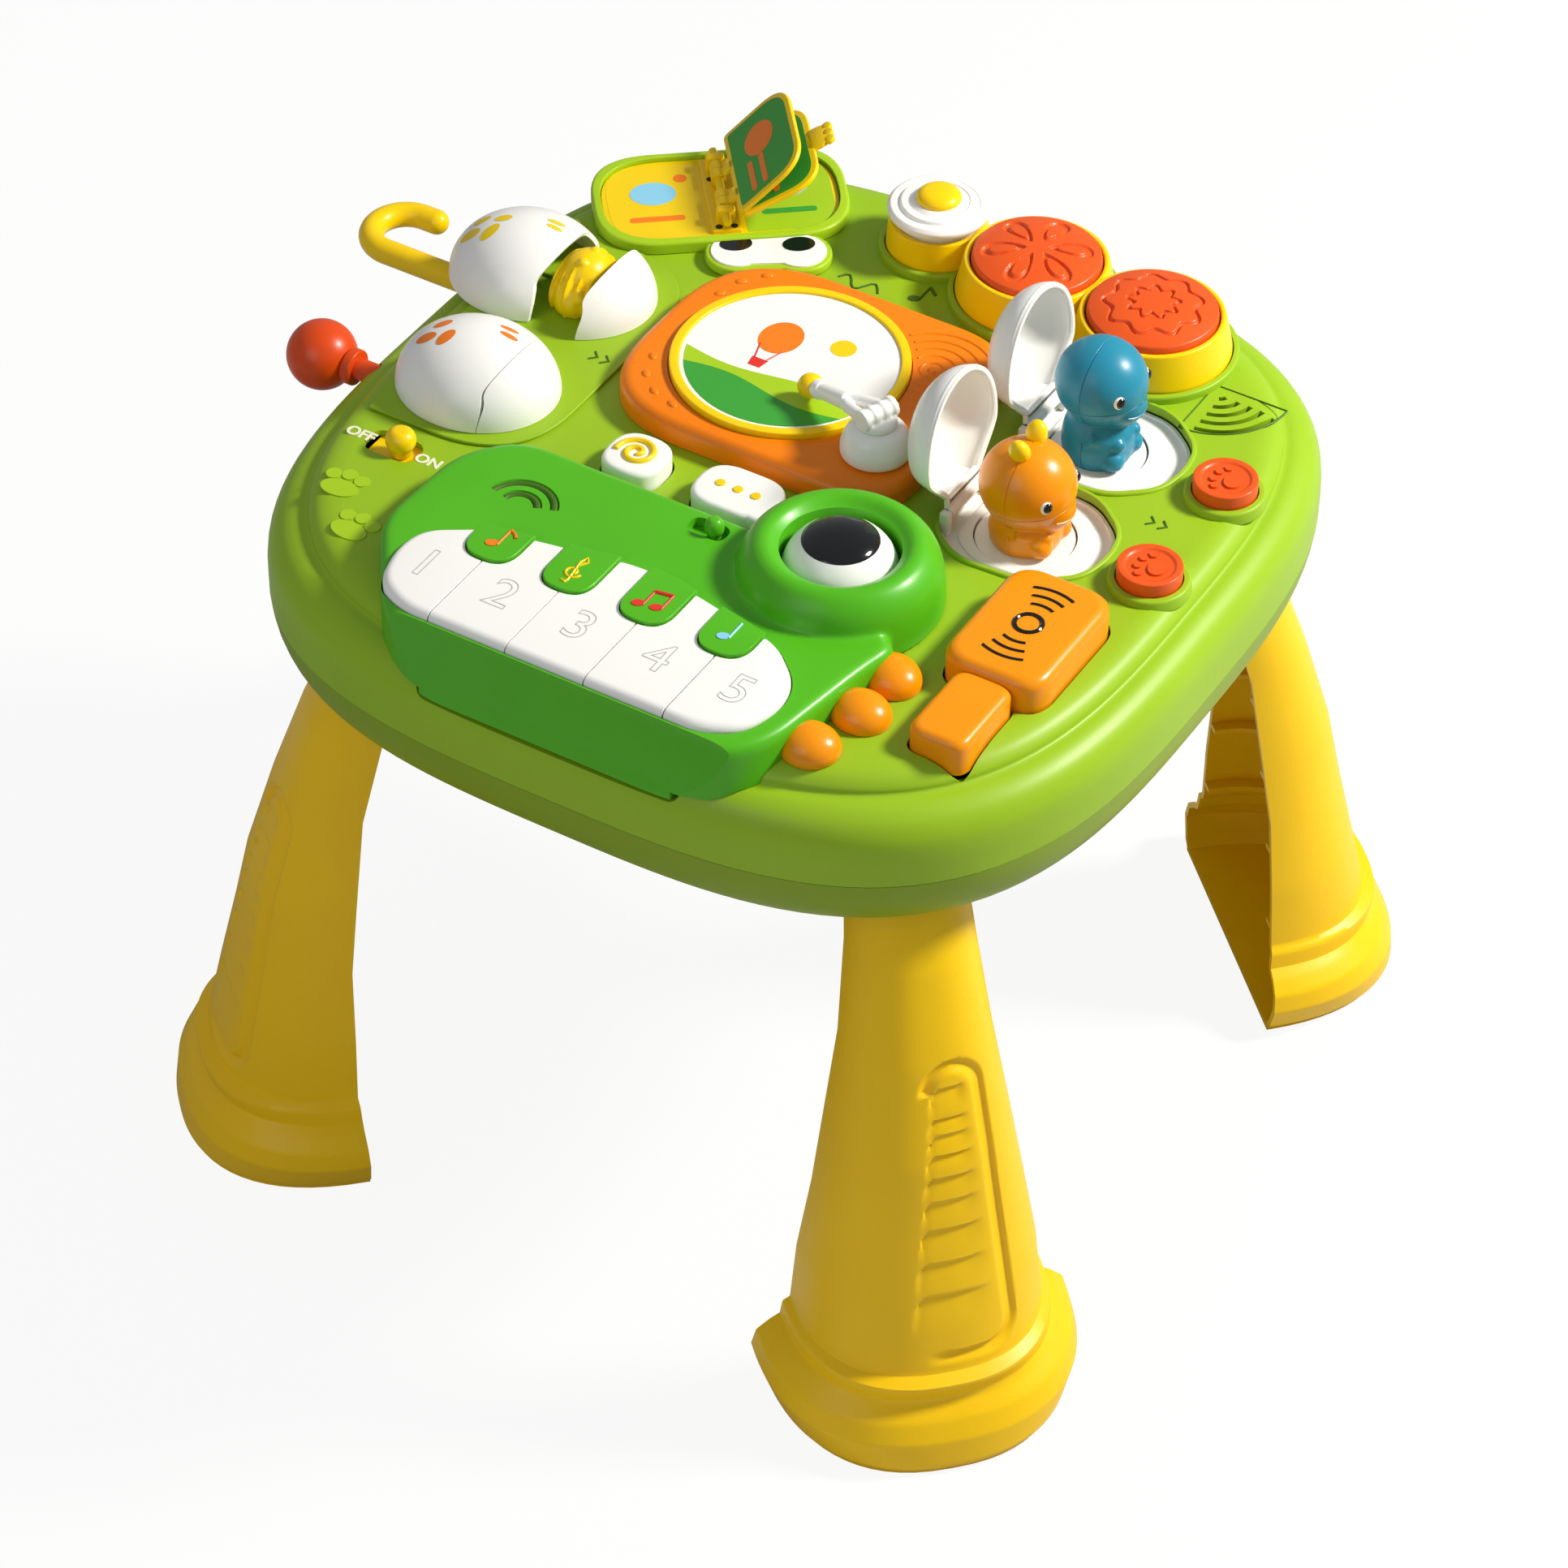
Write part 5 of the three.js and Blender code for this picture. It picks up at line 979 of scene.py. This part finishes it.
def bookParts():
    well = slab(bookOutline(book["wall"]), book["base"], book["rim"] + 6)
    tub = cut(slab(bookOutline(), coverTop + gap, book["rim"], 1.6, 5), [well])
    make("book_tub", bookPlace(tub), "table", leafAbs, ["book_tray"], 40, 0.5)
    low = book["base"] + gap
    sheet = [slab(bookOutline(book["wall"] + gap), low, book["top"], 0.6, 3), brick(-7, 7, -29, 29, low, book["top"] + 2, 0.8)]
    near, far = bookLug["reach"], bookLug["reach"] + bookLug["thickness"]
    for s in (-1, 1):
        sheet.append(brick(-bookLug["width"] / 2, bookLug["width"] / 2, min(s * near, s * far), max(s * near, s * far), low, bookLug["top"], 1.4))
    make("book_sheet", bookPlace(joinMeshes(sheet)), "table", yellowAbs, ["book_board", "book_pin"], 40)
    pin = rod(2, (0, -29, leaf["pin"]), (0, 29, leaf["pin"]))
    make("book_rod", bookPlace(pin), "table", yellowAbs)
    # painted shade: dark discs stand for the holes in the book's spine
    ends = [slab(circle(x, y, 1.7, 24), book["top"] + 1.9, book["top"] + 2.15) for x, y in ((3.6, -26), (-3.6, -26), (0, 26), (3.4, -12), (-3.4, 12))]
    make("book_hole_shades", bookPlace(joinMeshes(ends)), "table", darkAbsAndHoleShade)
    bookPicture()
    for index, rise, ears, hasTab in ((1, 0.78, (-17.5, 5), False), (2, 0.48, (-11.5, 11), True)):
        start, end, half = leaf["start"], leaf["start"] + leaf["length"], leaf["thickness"] / 2
        points = [(start, -leaf["half"]), (end, -leaf["half"]), (end, leaf["half"]), (start, leaf["half"])]
        parts = [slab(roundOff(points, [3, leaf["corner"], leaf["corner"], 3], 10), -half, half, 0.6, 3)]
        if hasTab:
            parts += [moved(tabPaw(half), (end + 2, 0, 0))]
        for y in ears:
            parts += [rod(3.6, (0, y, 0), (0, y + 5.6, 0)), brick(0, start + 6, y, y + 5.6, -half, half, 0.5)]
        body = f"book_page_{index}"
        make(f"page_frame_{index}", bookPlace(joinMeshes(parts), rise, leaf["pin"]), body, yellowAbs, [body], 40)
        inside = [(start + 2.6, -leaf["half"] + 2.8), (end - 2.8, -leaf["half"] + 2.8), (end - 2.8, leaf["half"] - 2.8), (start + 2.6, leaf["half"] - 2.8)]
        face = slab(roundOff(inside, [2, 13.5, 13.5, 2], 10), -half - 0.15, half + 0.15)
        make(f"page_face_{index}", bookPlace(face, rise, leaf["pin"]), body, greenInk)
        shapes = [slab([(28 + 9 * math.cos(t), 8 + 11 * math.sin(t)) for t in [k * math.pi / 16 for k in range(32)]], -half - 0.3, half + 0.3)]
        shapes += [slab(roundedBox(x, -14, 3, 22, 1.4), -half - 0.3, half + 0.3) for x in (20, 27)]
        make(f"page_shape_{index}", bookPlace(joinMeshes(shapes), rise, leaf["pin"]), body, orangeInk)
    frogEyes()


def tabPaw(half):
    parts = [slab(roundedBox(0, 0, 12, 15, 5), -half, half, 0.5, 2)]
    parts += [slab(circle(6, y, 2.6, 24), -half, half, 0.5, 2) for y in (-5, 0, 5)]
    return joinMeshes(parts)


# Plain clouds, bars and spots in the colours of the printed pages
def bookPicture():
    high = book["top"]

    def film(outline, material, slotName, name, lift=0.2):
        make(name, bookPlace(slab(outline, high - 0.3, high + lift)), "table", material)

    for s, field, inks in ((-1, yellowInk, (blueInk, orangeInk)), (1, leafAbs, (blueInk, greenInk))):
        near, far, half = s * 9.5, s * (book["length"] / 2 - 7), book["width"] / 2 - 7
        corners = [(near, -half), (far, -half), (far, half), (near, half)]
        film(roundOff(corners[::s], [2, 22, 22, 2][::s], 10), field, "leaf_abs", f"book_field_{s + 2}", 0.1)
        film([(s * 31 + 11 * math.cos(t), 6 + 9 * math.sin(t)) for t in [k * math.pi / 16 for k in range(32)]], inks[0], "blue_abs", f"book_cloud_{s + 2}")
        film(roundedBox(s * 31, -14, 26, 4, 2), inks[1], "orange_abs", f"book_bar_{s + 2}")
        film(circle(s * 17, 17, 3.2, 24), inks[1], "orange_abs", f"book_spot_{s + 2}")


def frogEyes():
    low = coverTop + gap
    eyes = [(2.6, -43.6), (31.5, -47.4)]
    tray = lambda: slab(grown(bookOutline(), runningGap), low - 2, 380)
    bean = lambda inset, bottom, high, soft: [
        *[lathe([(0, bottom), (15 - inset, bottom), (15 - inset, high), (0, high)], x, y, soft, 72) for x, y in eyes],
        slab([(2.6, -58.6 + inset * 1.6), (31.5, -60 + inset * 1.2), (31.5, -30), (2.6, -30)], bottom, high - 0.02)]
    ring = cut(fused(bean(0, low, low + 4.6, 1.4)), [tray()])
    make("eyes_frame", bookPlace(ring), "table", leafAbs, ["book_eyes"], 40)
    make("eyes_whites", bookPlace(cut(fused(bean(2.6, low + 3, low + 5.4, 0.5)), [tray()])), "table", whiteAbs, angle=40)
    ovals = [slab([(x + 7.6 * math.cos(t), y + 4.6 + 5.4 * math.sin(t)) for t in [k * math.pi / 20 for k in range(40)]], low + 4, low + 5.7) for x, y in eyes]
    make("eyes_pupils", bookPlace(cut(joinMeshes(ovals), [tray()])), "table", blackInk)


# Sliding eggs

def eggDeck():
    low, high = coverTop + gap, coverTop + gap + 1.5
    edge = casing["halfWidth"] - casing["rimWidth"] - 1
    top = squareOff(turned([(0, low - 1), (edge, low - 1), (edge, high + 1), (0, high + 1)], steps=casing["steps"]))
    points = [(-240, -76), (-100, -76), (-100, 86), (-240, 86)]
    sheet = combine(slab(roundOff(points, [2, 45, 45, 2], 14), low, high), [top], "INTERSECT")
    slots = [brick(tab["x"] - 2 - egg["travel"] - 0.6, tab["x"] + 2.6, y - 5.6, y + 5.6, low - 6, high + 6) for y in (egg["backY"], egg["frontY"])]
    trayCut = moved(slab(grown(bookOutline(), runningGap), low - 6, high + 20), (book["x"], book["y"], 0), book["turn"])
    make("egg_floor", cut(sheet, [*slots, trayCut]), "table", limeAbs, ["egg_deck"], 40, 0.5)


def crackEdge(side):
    crackX = egg["crack"] - egg["x"] + side * gap / 2
    steps = roundOff([(0, -6), (0, 0), (2.1, 12.4), (-0.7, 17.8), (4.1, 27.7), (4.1, 40)], 4, 5, closed=False)
    far = side * 120
    line = [(crackX + x + (side - 1) * 0.5 * (1 - smoothRamp(abs(z - 13), 1, 8)), z) for x, z in steps]
    return moved(slab([(far, -6), *line, (far, 40)], -70, 70), angle=math.pi / 2, axis="X")


def shellHalf(side, x, y, marks, body, name, node):
    outer = ball(1, (0, 0, 0), (egg["halfLength"], egg["halfWidth"], egg["height"]), 112)
    inner = ball(1, (0, 0, 0), (egg["halfLength"] - egg["wall"], egg["halfWidth"] - egg["wall"], egg["height"] - egg["wall"]), 112)
    shell = combine(cut(outer, [inner]), [brick(-80, 80, -80, 80, 0, 80), crackEdge(side)], "INTERSECT")
    make(name, moved(shell, (x, y, egg["rim"])), body, whiteAbs, [node], 40, 0.3)


# Each petal: its place on the shell, half length, half width and turn
petals = {
    "front": [(-18.5, 1, 4.4, 2.7, 0.7), (-21, -9, 4.8, 3.2, 0.3), (-11, -8, 5.2, 3.2, 1.3), (9.5, 12.5, 4.4, 1.5, 0.2), (12.4, 7.6, 4.4, 1.6, 0.1)],
    "back": [(-24.4, -2, 4.2, 2.7, 0.7), (-25, -11.3, 4.8, 3.2, 0.3), (-14.5, -10.5, 5.4, 3.2, 1.3), (-13.5, -0.5, 4.2, 2.6, 0.4),
             (9, 9.4, 4.4, 1.5, 0.2), (10.6, 5.2, 4, 1.4, 0.1)]}


def eggSpots(x, y, places, material, body, name):
    parts = []
    for sx, sy, a, b, turn in places:
        film = bmesh.new()
        bmesh.ops.create_circle(film, cap_ends=True, cap_tris=True, segments=32, radius=1)
        bmesh.ops.subdivide_edges(film, edges=film.edges[:], cuts=3, use_grid_fill=True)
        bmesh.ops.scale(film, verts=film.verts, vec=(a, b, 1))
        moved(film, (sx, sy, 0), turn)
        for vert in film.verts:
            left = 1 - (vert.co.x / egg["halfLength"]) ** 2 - (vert.co.y / egg["halfWidth"]) ** 2
            vert.co.z = egg["height"] * math.sqrt(max(left, 0.01)) + 0.12
        parts.append(film)
    make(name, moved(joinMeshes(parts), (x, y, egg["rim"])), body, material, angle=60)


def slidingEggs():
    eggDeck()
    shift = {"back": -egg["travel"], "front": 0}
    for side in ("back", "front"):
        y, body = egg[side + "Y"], side + "_egg_slider"
        x = egg["x"] + shift[side]
        shellHalf(-1, x, y, True, body, f"egg_half_left_{side}", f"{side}_egg_shell_left")
        shellHalf(1, egg["x"], y, False, "table", f"egg_half_right_{side}", f"{side}_egg_shell_right")
        ink, slotName = (yellowInk, "yellow_abs") if side == "back" else (orangeInk, "orange_abs")
        eggSpots(x, y, petals[side], ink, body, f"egg_spots_{side}")
        chick(y, side)
        plate = brick(tab["x"] + shift[side] - 2, tab["x"] + shift[side] + 2, y - 5, y + 5, rods["height"] - 6, tab["top"], 0.6)
        if side == "back":
            make("hook_tab", plate, body, yellowAbs)
        else:
            make("ball_tab", plate, body, redAbs)
    hook()
    y = egg["frontY"]
    grip = ball(rods["ballRadius"], (rods["ballX"], y, rods["height"]), (1, 1, 1), 64)
    stem = rod(rods["ball"], (tab["x"], y, rods["height"]), (rods["ballX"], y, rods["height"]))
    collar = moved(lathe([(0, -2.5), (8.6, -2.5), (8.6, 2.5), (0, 2.5)], corner=1), angle=math.pi / 2, axis="Y")
    collar = moved(collar, (rods["ballX"] + 17.5, y, rods["height"]))
    make("ball_grip", fused([grip, stem, collar]), "front_egg_slider", redAbs, ["ball_handle"], 50)


def hook():
    y, z, r = egg["backY"], rods["height"], rods["bendRadius"]
    points = [(tab["x"] - egg["travel"] - 4, y, z), (rods["bendX"] + 10, y, z)]
    for k in range(25):
        t = math.pi / 2 * 3 - math.pi * k / 24
        points.append((rods["bendX"] + r * math.cos(t), y + r + r * math.sin(t), z))
    points.append((rods["endX"], y + 2 * r, z))
    end = points[-1]
    make("hook_rod", joinMeshes([tube(points, rods["hook"], sides=10), ball(rods["hook"], end, steps=32)]), "back_egg_slider", yellowAbs, ["hook_handle"], 50)


def chick(y, side):
    base = egg["rim"]
    x = -141
    parts = [ball(1, (x, y, base + 6), (13.6, 20, 14), 48), ball(1, (x + 1, y, base + 14), (11.6, 13, 11), 44)]
    parts += [ball(1, (x - 9 + 4.6 * k, y, base + 6.4), (2.1, 20.6 - abs(k - 2) * 1.6, 17.6 - abs(k - 2) * 1.8), 36) for k in range(5)]
    parts += [ball(3.6, (x + 4 + 2 * s, y - 15.4, base + 9 + 2 * s), (1, 0.8, 1), 24) for s in (-1, 1)]
    parts += [ball(3, (x + 2, y + s * 5, base + 22.4), (1, 1, 1), 20) for s in (-1, 1)]
    block = brick(-260, 0, -200, 200, base - 30, base)
    make("chick_figure_" + side, cut(melted(parts, 0.6, 3), [block]), "table", yellowAbs, ["egg_chick_" + side], 60)


# Hatching figures

lid = {"hinge": 80, "height": 351.5, "centre": 30, "length": 35, "halfWidth": 30, "depth": 22, "wall": 2, "open": 1.64, "reach": 4.2,
       "waist": 0.62, "waistEnd": 26}
knuckle = {"radius": 2.6, "length": 30}


def eggCups():
    for side, y in sides.items():
        low, floor = cup["floor"] - 2, cup["floor"]
        x, py = (108.7, 75.5) if side == "back" else (111, 6)
        inner = slab(grown(cupOutline(y), -cup["wall"]), floor, coverTop + 6)
        hole = disk(cup["hole"], low - 6, floor + 6, x, py, 72)
        bowl = cut(slab(cupOutline(y), low, floor + 1.6, 0.5), [inner, hole])
        step = cut(slab(grown(cupOutline(y), -7), floor - 0.1, floor + 0.9, 0.5), [disk(cup["hole"], low - 6, floor + 6, x, py, 72)])
        lugs = [brick(lid["hinge"] - 2.5, lid["hinge"] + 2.5, min(y + s * 15.3, y + s * 19.3), max(y + s * 15.3, y + s * 19.3), floor, 353.9, 1) for s in (-1, 1)]
        make("cup_bowl_" + side, joinMeshes([bowl, step, *lugs]), "table", whiteAbs, ["egg_cup_" + side], 40)


# The lid's width narrows in an S towards its hinge
def lidWaist(x):
    return lid["waist"] + (1 - lid["waist"]) * smoothRamp(x, lid["reach"], lid["waistEnd"])


def lidShell(y):
    size = 90

    def dome(inset):
        shell = ball(1, (lid["centre"], 0, 0), (lid["length"] - inset, lid["halfWidth"] - inset, lid["depth"] - inset), 112)
        for vert in shell.verts:
            vert.co.y *= lidWaist(vert.co.x)
        return shell

    keep = brick(lid["reach"], size, -size, size, 0, size)
    hollow = cut(dome(lid["wall"]), [brick(-size, lid["reach"] + lid["wall"], -size, size, -size, size)])
    shell = cut(combine(dome(0), [keep], "INTERSECT"), [hollow])
    half = knuckle["length"] / 2
    barrel = rod(knuckle["radius"], (0, -half, 0), (0, half, 0))
    bridge = brick(0, lid["reach"] + 3, -half, half, 0, lid["wall"])
    rim = []
    for s in (-1, 1):
        turns = [math.pi * k / 60 for k in range(61)]
        if s == 1:
            turns = turns[::-1]
        for t in turns:
            x = lid["centre"] - (lid["length"] - 1.5) * math.cos(t)
            if x > lid["reach"] + 1.5:
                rim.append((x, s * (lid["halfWidth"] - 1.5) * math.sin(t) * lidWaist(x), 1.6))
    whole = joinMeshes([shell, barrel, bridge, tube(rim, 1.6, True, 4)])
    bmesh.ops.rotate(whole, verts=whole.verts, cent=(0, 0, 0), matrix=Matrix.Rotation(-lid["open"], 3, "Y"))
    return moved(whole, (lid["hinge"], y, lid["height"]))


def hatchling(name, node, x, y, head, neck, body, tall, material, horns):
    floor = cup["floor"]
    crown = floor + neck
    parts = [lathe([(0, floor - 2.4), (body * 0.84, floor - 2.4), (body, floor + tall * 0.2), (body, floor + tall * 0.6),
                    (body * 0.86, floor + tall), (body * 0.5, floor + tall + 4), (0, floor + tall + 4)], 0, 0, 4, 64)]
    parts.append(ball(head, (0, 0, crown), (1, 0.96, 0.96), 72))
    parts.append(ball(12.5, (head - 12, 0, crown - head * 0.33), steps=48))
    for s in (-1, 1):
        parts.append(ball(5.6, (11.4, s * 8.4, floor + 5.4), (1.1, 1, 1), 32))
        parts.append(ball(4.2, (12, s * 7, floor + tall * 0.62), (1.2, 0.9, 0.9), 28))
        parts.append(rod(4, (2, s * (body - 2.6), floor + tall * 0.8), (12, s * 7, floor + tall * 0.62), 3.2, 24))
    skin = melted(parts, 0.7, 4)
    ring = [(head * 1.0 * math.cos(t) * 0, head * 0.96 * math.cos(t), crown + head * 0.96 * math.sin(t)) for t in [2 * math.pi * k / 72 for k in range(72)]]
    waist = [(0, s * (body + 0.1), floor + h) for s, h in ((-1, 2), (-1, tall * 0.7))]
    jaw = []
    for k in range(72):
        t = 2 * math.pi * k / 72
        drop = -head * (0.3 - 0.12 * math.cos(t))
        reach = math.sqrt(max(1 - (drop / (head * 0.96)) ** 2, 0.1))
        jaw.append((head * reach * math.cos(t), head * 0.96 * reach * math.sin(t), crown + drop))
    skin = cut(skin, [tube(ring, 0.42, True), tube(jaw, 0.42, True)])
    make(name, moved(skin, (x, y, 0)), node, material, [node], 60)
    make(name + "_side_seam", moved(tube(waist, 0.3), (x, y, 0)), node, material)
    plinth = lathe([(0, floor - 12.4), (12, floor - 12.4), (12, floor - 2.4), (22.3, floor - 2.4), (22.3, floor), (0, floor)], x, y, 0.5, 64)
    make(name + "_plinth", plinth, node, whiteAbs, angle=50)
    eyes, pupils = [], []
    for s in (-1, 1):
        turn = math.radians(40) * s
        out = Vector((math.cos(turn) * math.cos(0.08), math.sin(turn) * math.cos(0.08), math.sin(0.08)))
        spot = Vector((x, y, crown)) + Vector((out.x * head, out.y * head * 0.96, out.z * head * 0.96))
        eyes.append(ball(3.7, spot - out * 2.7, (1, 1, 1.15), 32))
        pupils.append(ball(2.5, spot - out * 1.25 + Vector((0.5, 0, 0.1)), (1, 1, 1.15), 28))
    make(name + "_eyes", joinMeshes(eyes), node, whiteAbs, angle=60)
    make(name + "_pupils", joinMeshes(pupils), node, blackInk, angle=60)
    smile = []
    for k in range(13):
        turn = math.radians(-42 + 7 * k)
        rise = 12.5 * math.sin(math.radians(-14)) + 2.0 * turn ** 2
        reach = math.sqrt(12.5 ** 2 - rise ** 2) + 0.1
        smile.append((x + head - 12 + reach * math.cos(turn), y + reach * math.sin(turn), crown - head * 0.33 + rise))
    make(name + "_smile", tube(smile, 0.4), node, material)
    if horns:
        tips = [moved(moved(ball(1, (0, 0, 3), (5, 4.2, 6.4), 36), angle=s * -0.35, axis="X"), (x - 1, y + s * 6.4, crown + head * 0.96 - 2.2)) for s in (-1, 1)]
        make(name + "_horns", joinMeshes(tips), node, yellowAbs, angle=60)


def hatchers():
    eggCups()
    for side, y in sides.items():
        make("lid_shell_" + side, lidShell(y), "egg_lid_" + side, whiteAbs, ["egg_lid_" + side], 40)
    hatchling("blue_figure", "hatchling_blue", 108.7, 75.5, 21, 40, 16.5, 22, blueAbs, False)
    hatchling("orange_figure", "hatchling_orange", 111, 6, 21.8, 30.5, 16.5, 16, amberAbs, True)


# Relief on the cover

def coverRelief():
    z = coverTop
    for index, (x, y, turn) in enumerate(((-159, -125, 0.1), (-138, -147, -0.1))):
        parts = [slab([(9 * math.cos(t), 5.6 * math.sin(t) - 4) for t in [k * math.pi / 16 for k in range(32)]], -0.4, 0.5)]
        parts += [slab(circle(dx, 4 + 2 * (dx == 0), 3.6, 24), -0.4, 0.5) for dx in (-7, 0, 7)]
        make(f"footprint_{index + 1}", moved(joinMeshes(parts), (x, y, z), turn), "table", leafAbs)
    # painted shade: the wave, note and chevron relief lines are drawn in dark green
    wave = [(-52 + 2 * k, 120 + 4 * math.sin(k * 0.9), z) for k in range(12)]
    marks = [tube(wave, 0.6), noteHead(-14, 124, z), tube([(-11.6, 124, z), (-11.6, 135, z)], 0.6), tube([(-11.6, 135, z), (-6.6, 131, z)], 0.8)]
    marks += [tube([(-115 + dx, 5, z + 1.8), (-112 + dx, 8, z + 1.8), (-115 + dx, 11, z + 1.8)], 0.6) for dx in (0, 6)]
    marks += [tube([(154 + dx, 36, z), (157 + dx, 39, z), (154 + dx, 42, z)], 0.6) for dx in (0, 6)]
    make("cover_mark_shades", joinMeshes(marks), "table", paintedShadeAbs)
    # painted shade: a dark green line round the grille's edge
    corner = [(grille["x"] - 3, grille["y"] + 3)]
    turns = [-math.pi / 2 + math.pi / 2 * k / 16 for k in range(17)]
    corner += [(grille["x"] - 3 + grille["sector"] * math.cos(t), grille["y"] + 3 + grille["sector"] * math.sin(t)) for t in turns]
    make("grille_rim_shade", tube([(x, y, z) for x, y in corner], 0.5, True), "table", paintedShadeAbs)


coverShell()
trayShell()
print("casing made")
legs()
print("legs made")
crocHead()
eyeball()
clawTips()
pianoKeys()
switches()
print("piano made")
pressButtons()
drumPads()
print("buttons and drums made")
turntable()
bookParts()
print("turntable and book made")
slidingEggs()
hatchers()
coverRelief()
print("figures made")

# What stays from the frame keeps its shape and takes a finish
for node, material in (("battery_door", skirtAbs), ("battery_box", darkAbsAndHoleShade), ("circuit_board", boardMask), ("speaker", pressedSteel)):
    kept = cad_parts[node]
    kept.data.materials.clear()
    kept.data.materials.append(material)


# Floor, light and camera

view = {"azimuth": 30.8, "elevation": 42.127, "roll": 0.6892, "distance": 2431.62, "target": (0.96, -12.5, 158.48), "lens": 119.89}


def addCamera():
    a, e, roll = (math.radians(view[key]) for key in ("azimuth", "elevation", "roll"))
    back = Vector((math.sin(a) * math.cos(e), -math.cos(a) * math.cos(e), math.sin(e)))
    right = Vector((math.cos(a), math.sin(a), 0))
    up = back.cross(right)
    across = right * math.cos(roll) + up * math.sin(roll)
    above = up * math.cos(roll) - right * math.sin(roll)
    data = bpy.data.cameras.new("camera")
    data.lens, data.sensor_width, data.clip_end = view["lens"], 36, 50
    camera = bpy.data.objects.new("camera", data)
    turn = Matrix((across, above, back)).transposed().to_4x4()
    place = (Vector(view["target"]) + back * view["distance"]) * mm + tableMiddle
    camera.matrix_world = Matrix.Translation(place) @ turn
    bpy.context.scene.collection.objects.link(camera)
    bpy.context.scene.camera = camera


def addFloor():
    bm = bmesh.new()
    bmesh.ops.create_grid(bm, x_segments=1, y_segments=1, size=12)
    mesh = bpy.data.meshes.new("floor")
    bm.to_mesh(mesh)
    bm.free()
    floor = bpy.data.objects.new("floor", mesh)
    bpy.context.scene.collection.objects.link(floor)
    paint = bpy.data.materials.new("paleFloorPaint")
    paint.use_nodes = True
    shader = paint.node_tree.nodes["Principled BSDF"]
    shader.inputs["Base Color"].default_value = linear("#c4c4c4")
    shader.inputs["Roughness"].default_value = 0.9
    # the camera sees a brighter floor than the part does, so its shadow stays light
    tree = paint.node_tree
    glow = addNode(tree, "ShaderNodeEmission", {"Color": linear("#ffffff"), "Strength": 1.06})
    seen = addNode(tree, "ShaderNodeLightPath").outputs["Is Camera Ray"]
    share = addNode(tree, "ShaderNodeMath", {0: seen, 1: 0.86}, operation="MULTIPLY")
    blend = addNode(tree, "ShaderNodeMixShader", {0: share.outputs[0], 1: shader.outputs["BSDF"], 2: glow.outputs["Emission"]})
    tree.links.new(blend.outputs["Shader"], tree.nodes["Material Output"].inputs["Surface"])
    mesh.materials.append(paint)


def addLamp(name, place, size, power, colour):
    data = bpy.data.lights.new(name, "AREA")
    data.shape, data.size, data.energy, data.color = "DISK", size, power, linear(colour)[:3]
    lamp = bpy.data.objects.new(name, data)
    lamp.location = place
    lamp.rotation_euler = (Vector((0, 0, 0.25)) - Vector(place)).to_track_quat("-Z", "Y").to_euler()
    bpy.context.scene.collection.objects.link(lamp)


addCamera()
addFloor()
addLamp("keyLamp", (1.35, 0.95, 1.7), 0.4, 62, "#fffaf0")
addLamp("fillLamp", (-0.3, -2.2, 1.6), 1.6, 9, "#ffffff")
world = bpy.data.worlds.new("studio")
world.use_nodes = True
world.node_tree.nodes["Background"].inputs["Color"].default_value = linear("#f4f6f8")
world.node_tree.nodes["Background"].inputs["Strength"].default_value = 0.34
bpy.context.scene.world = world
bpy.context.scene.view_settings.view_transform = "Standard"
print("stage made")
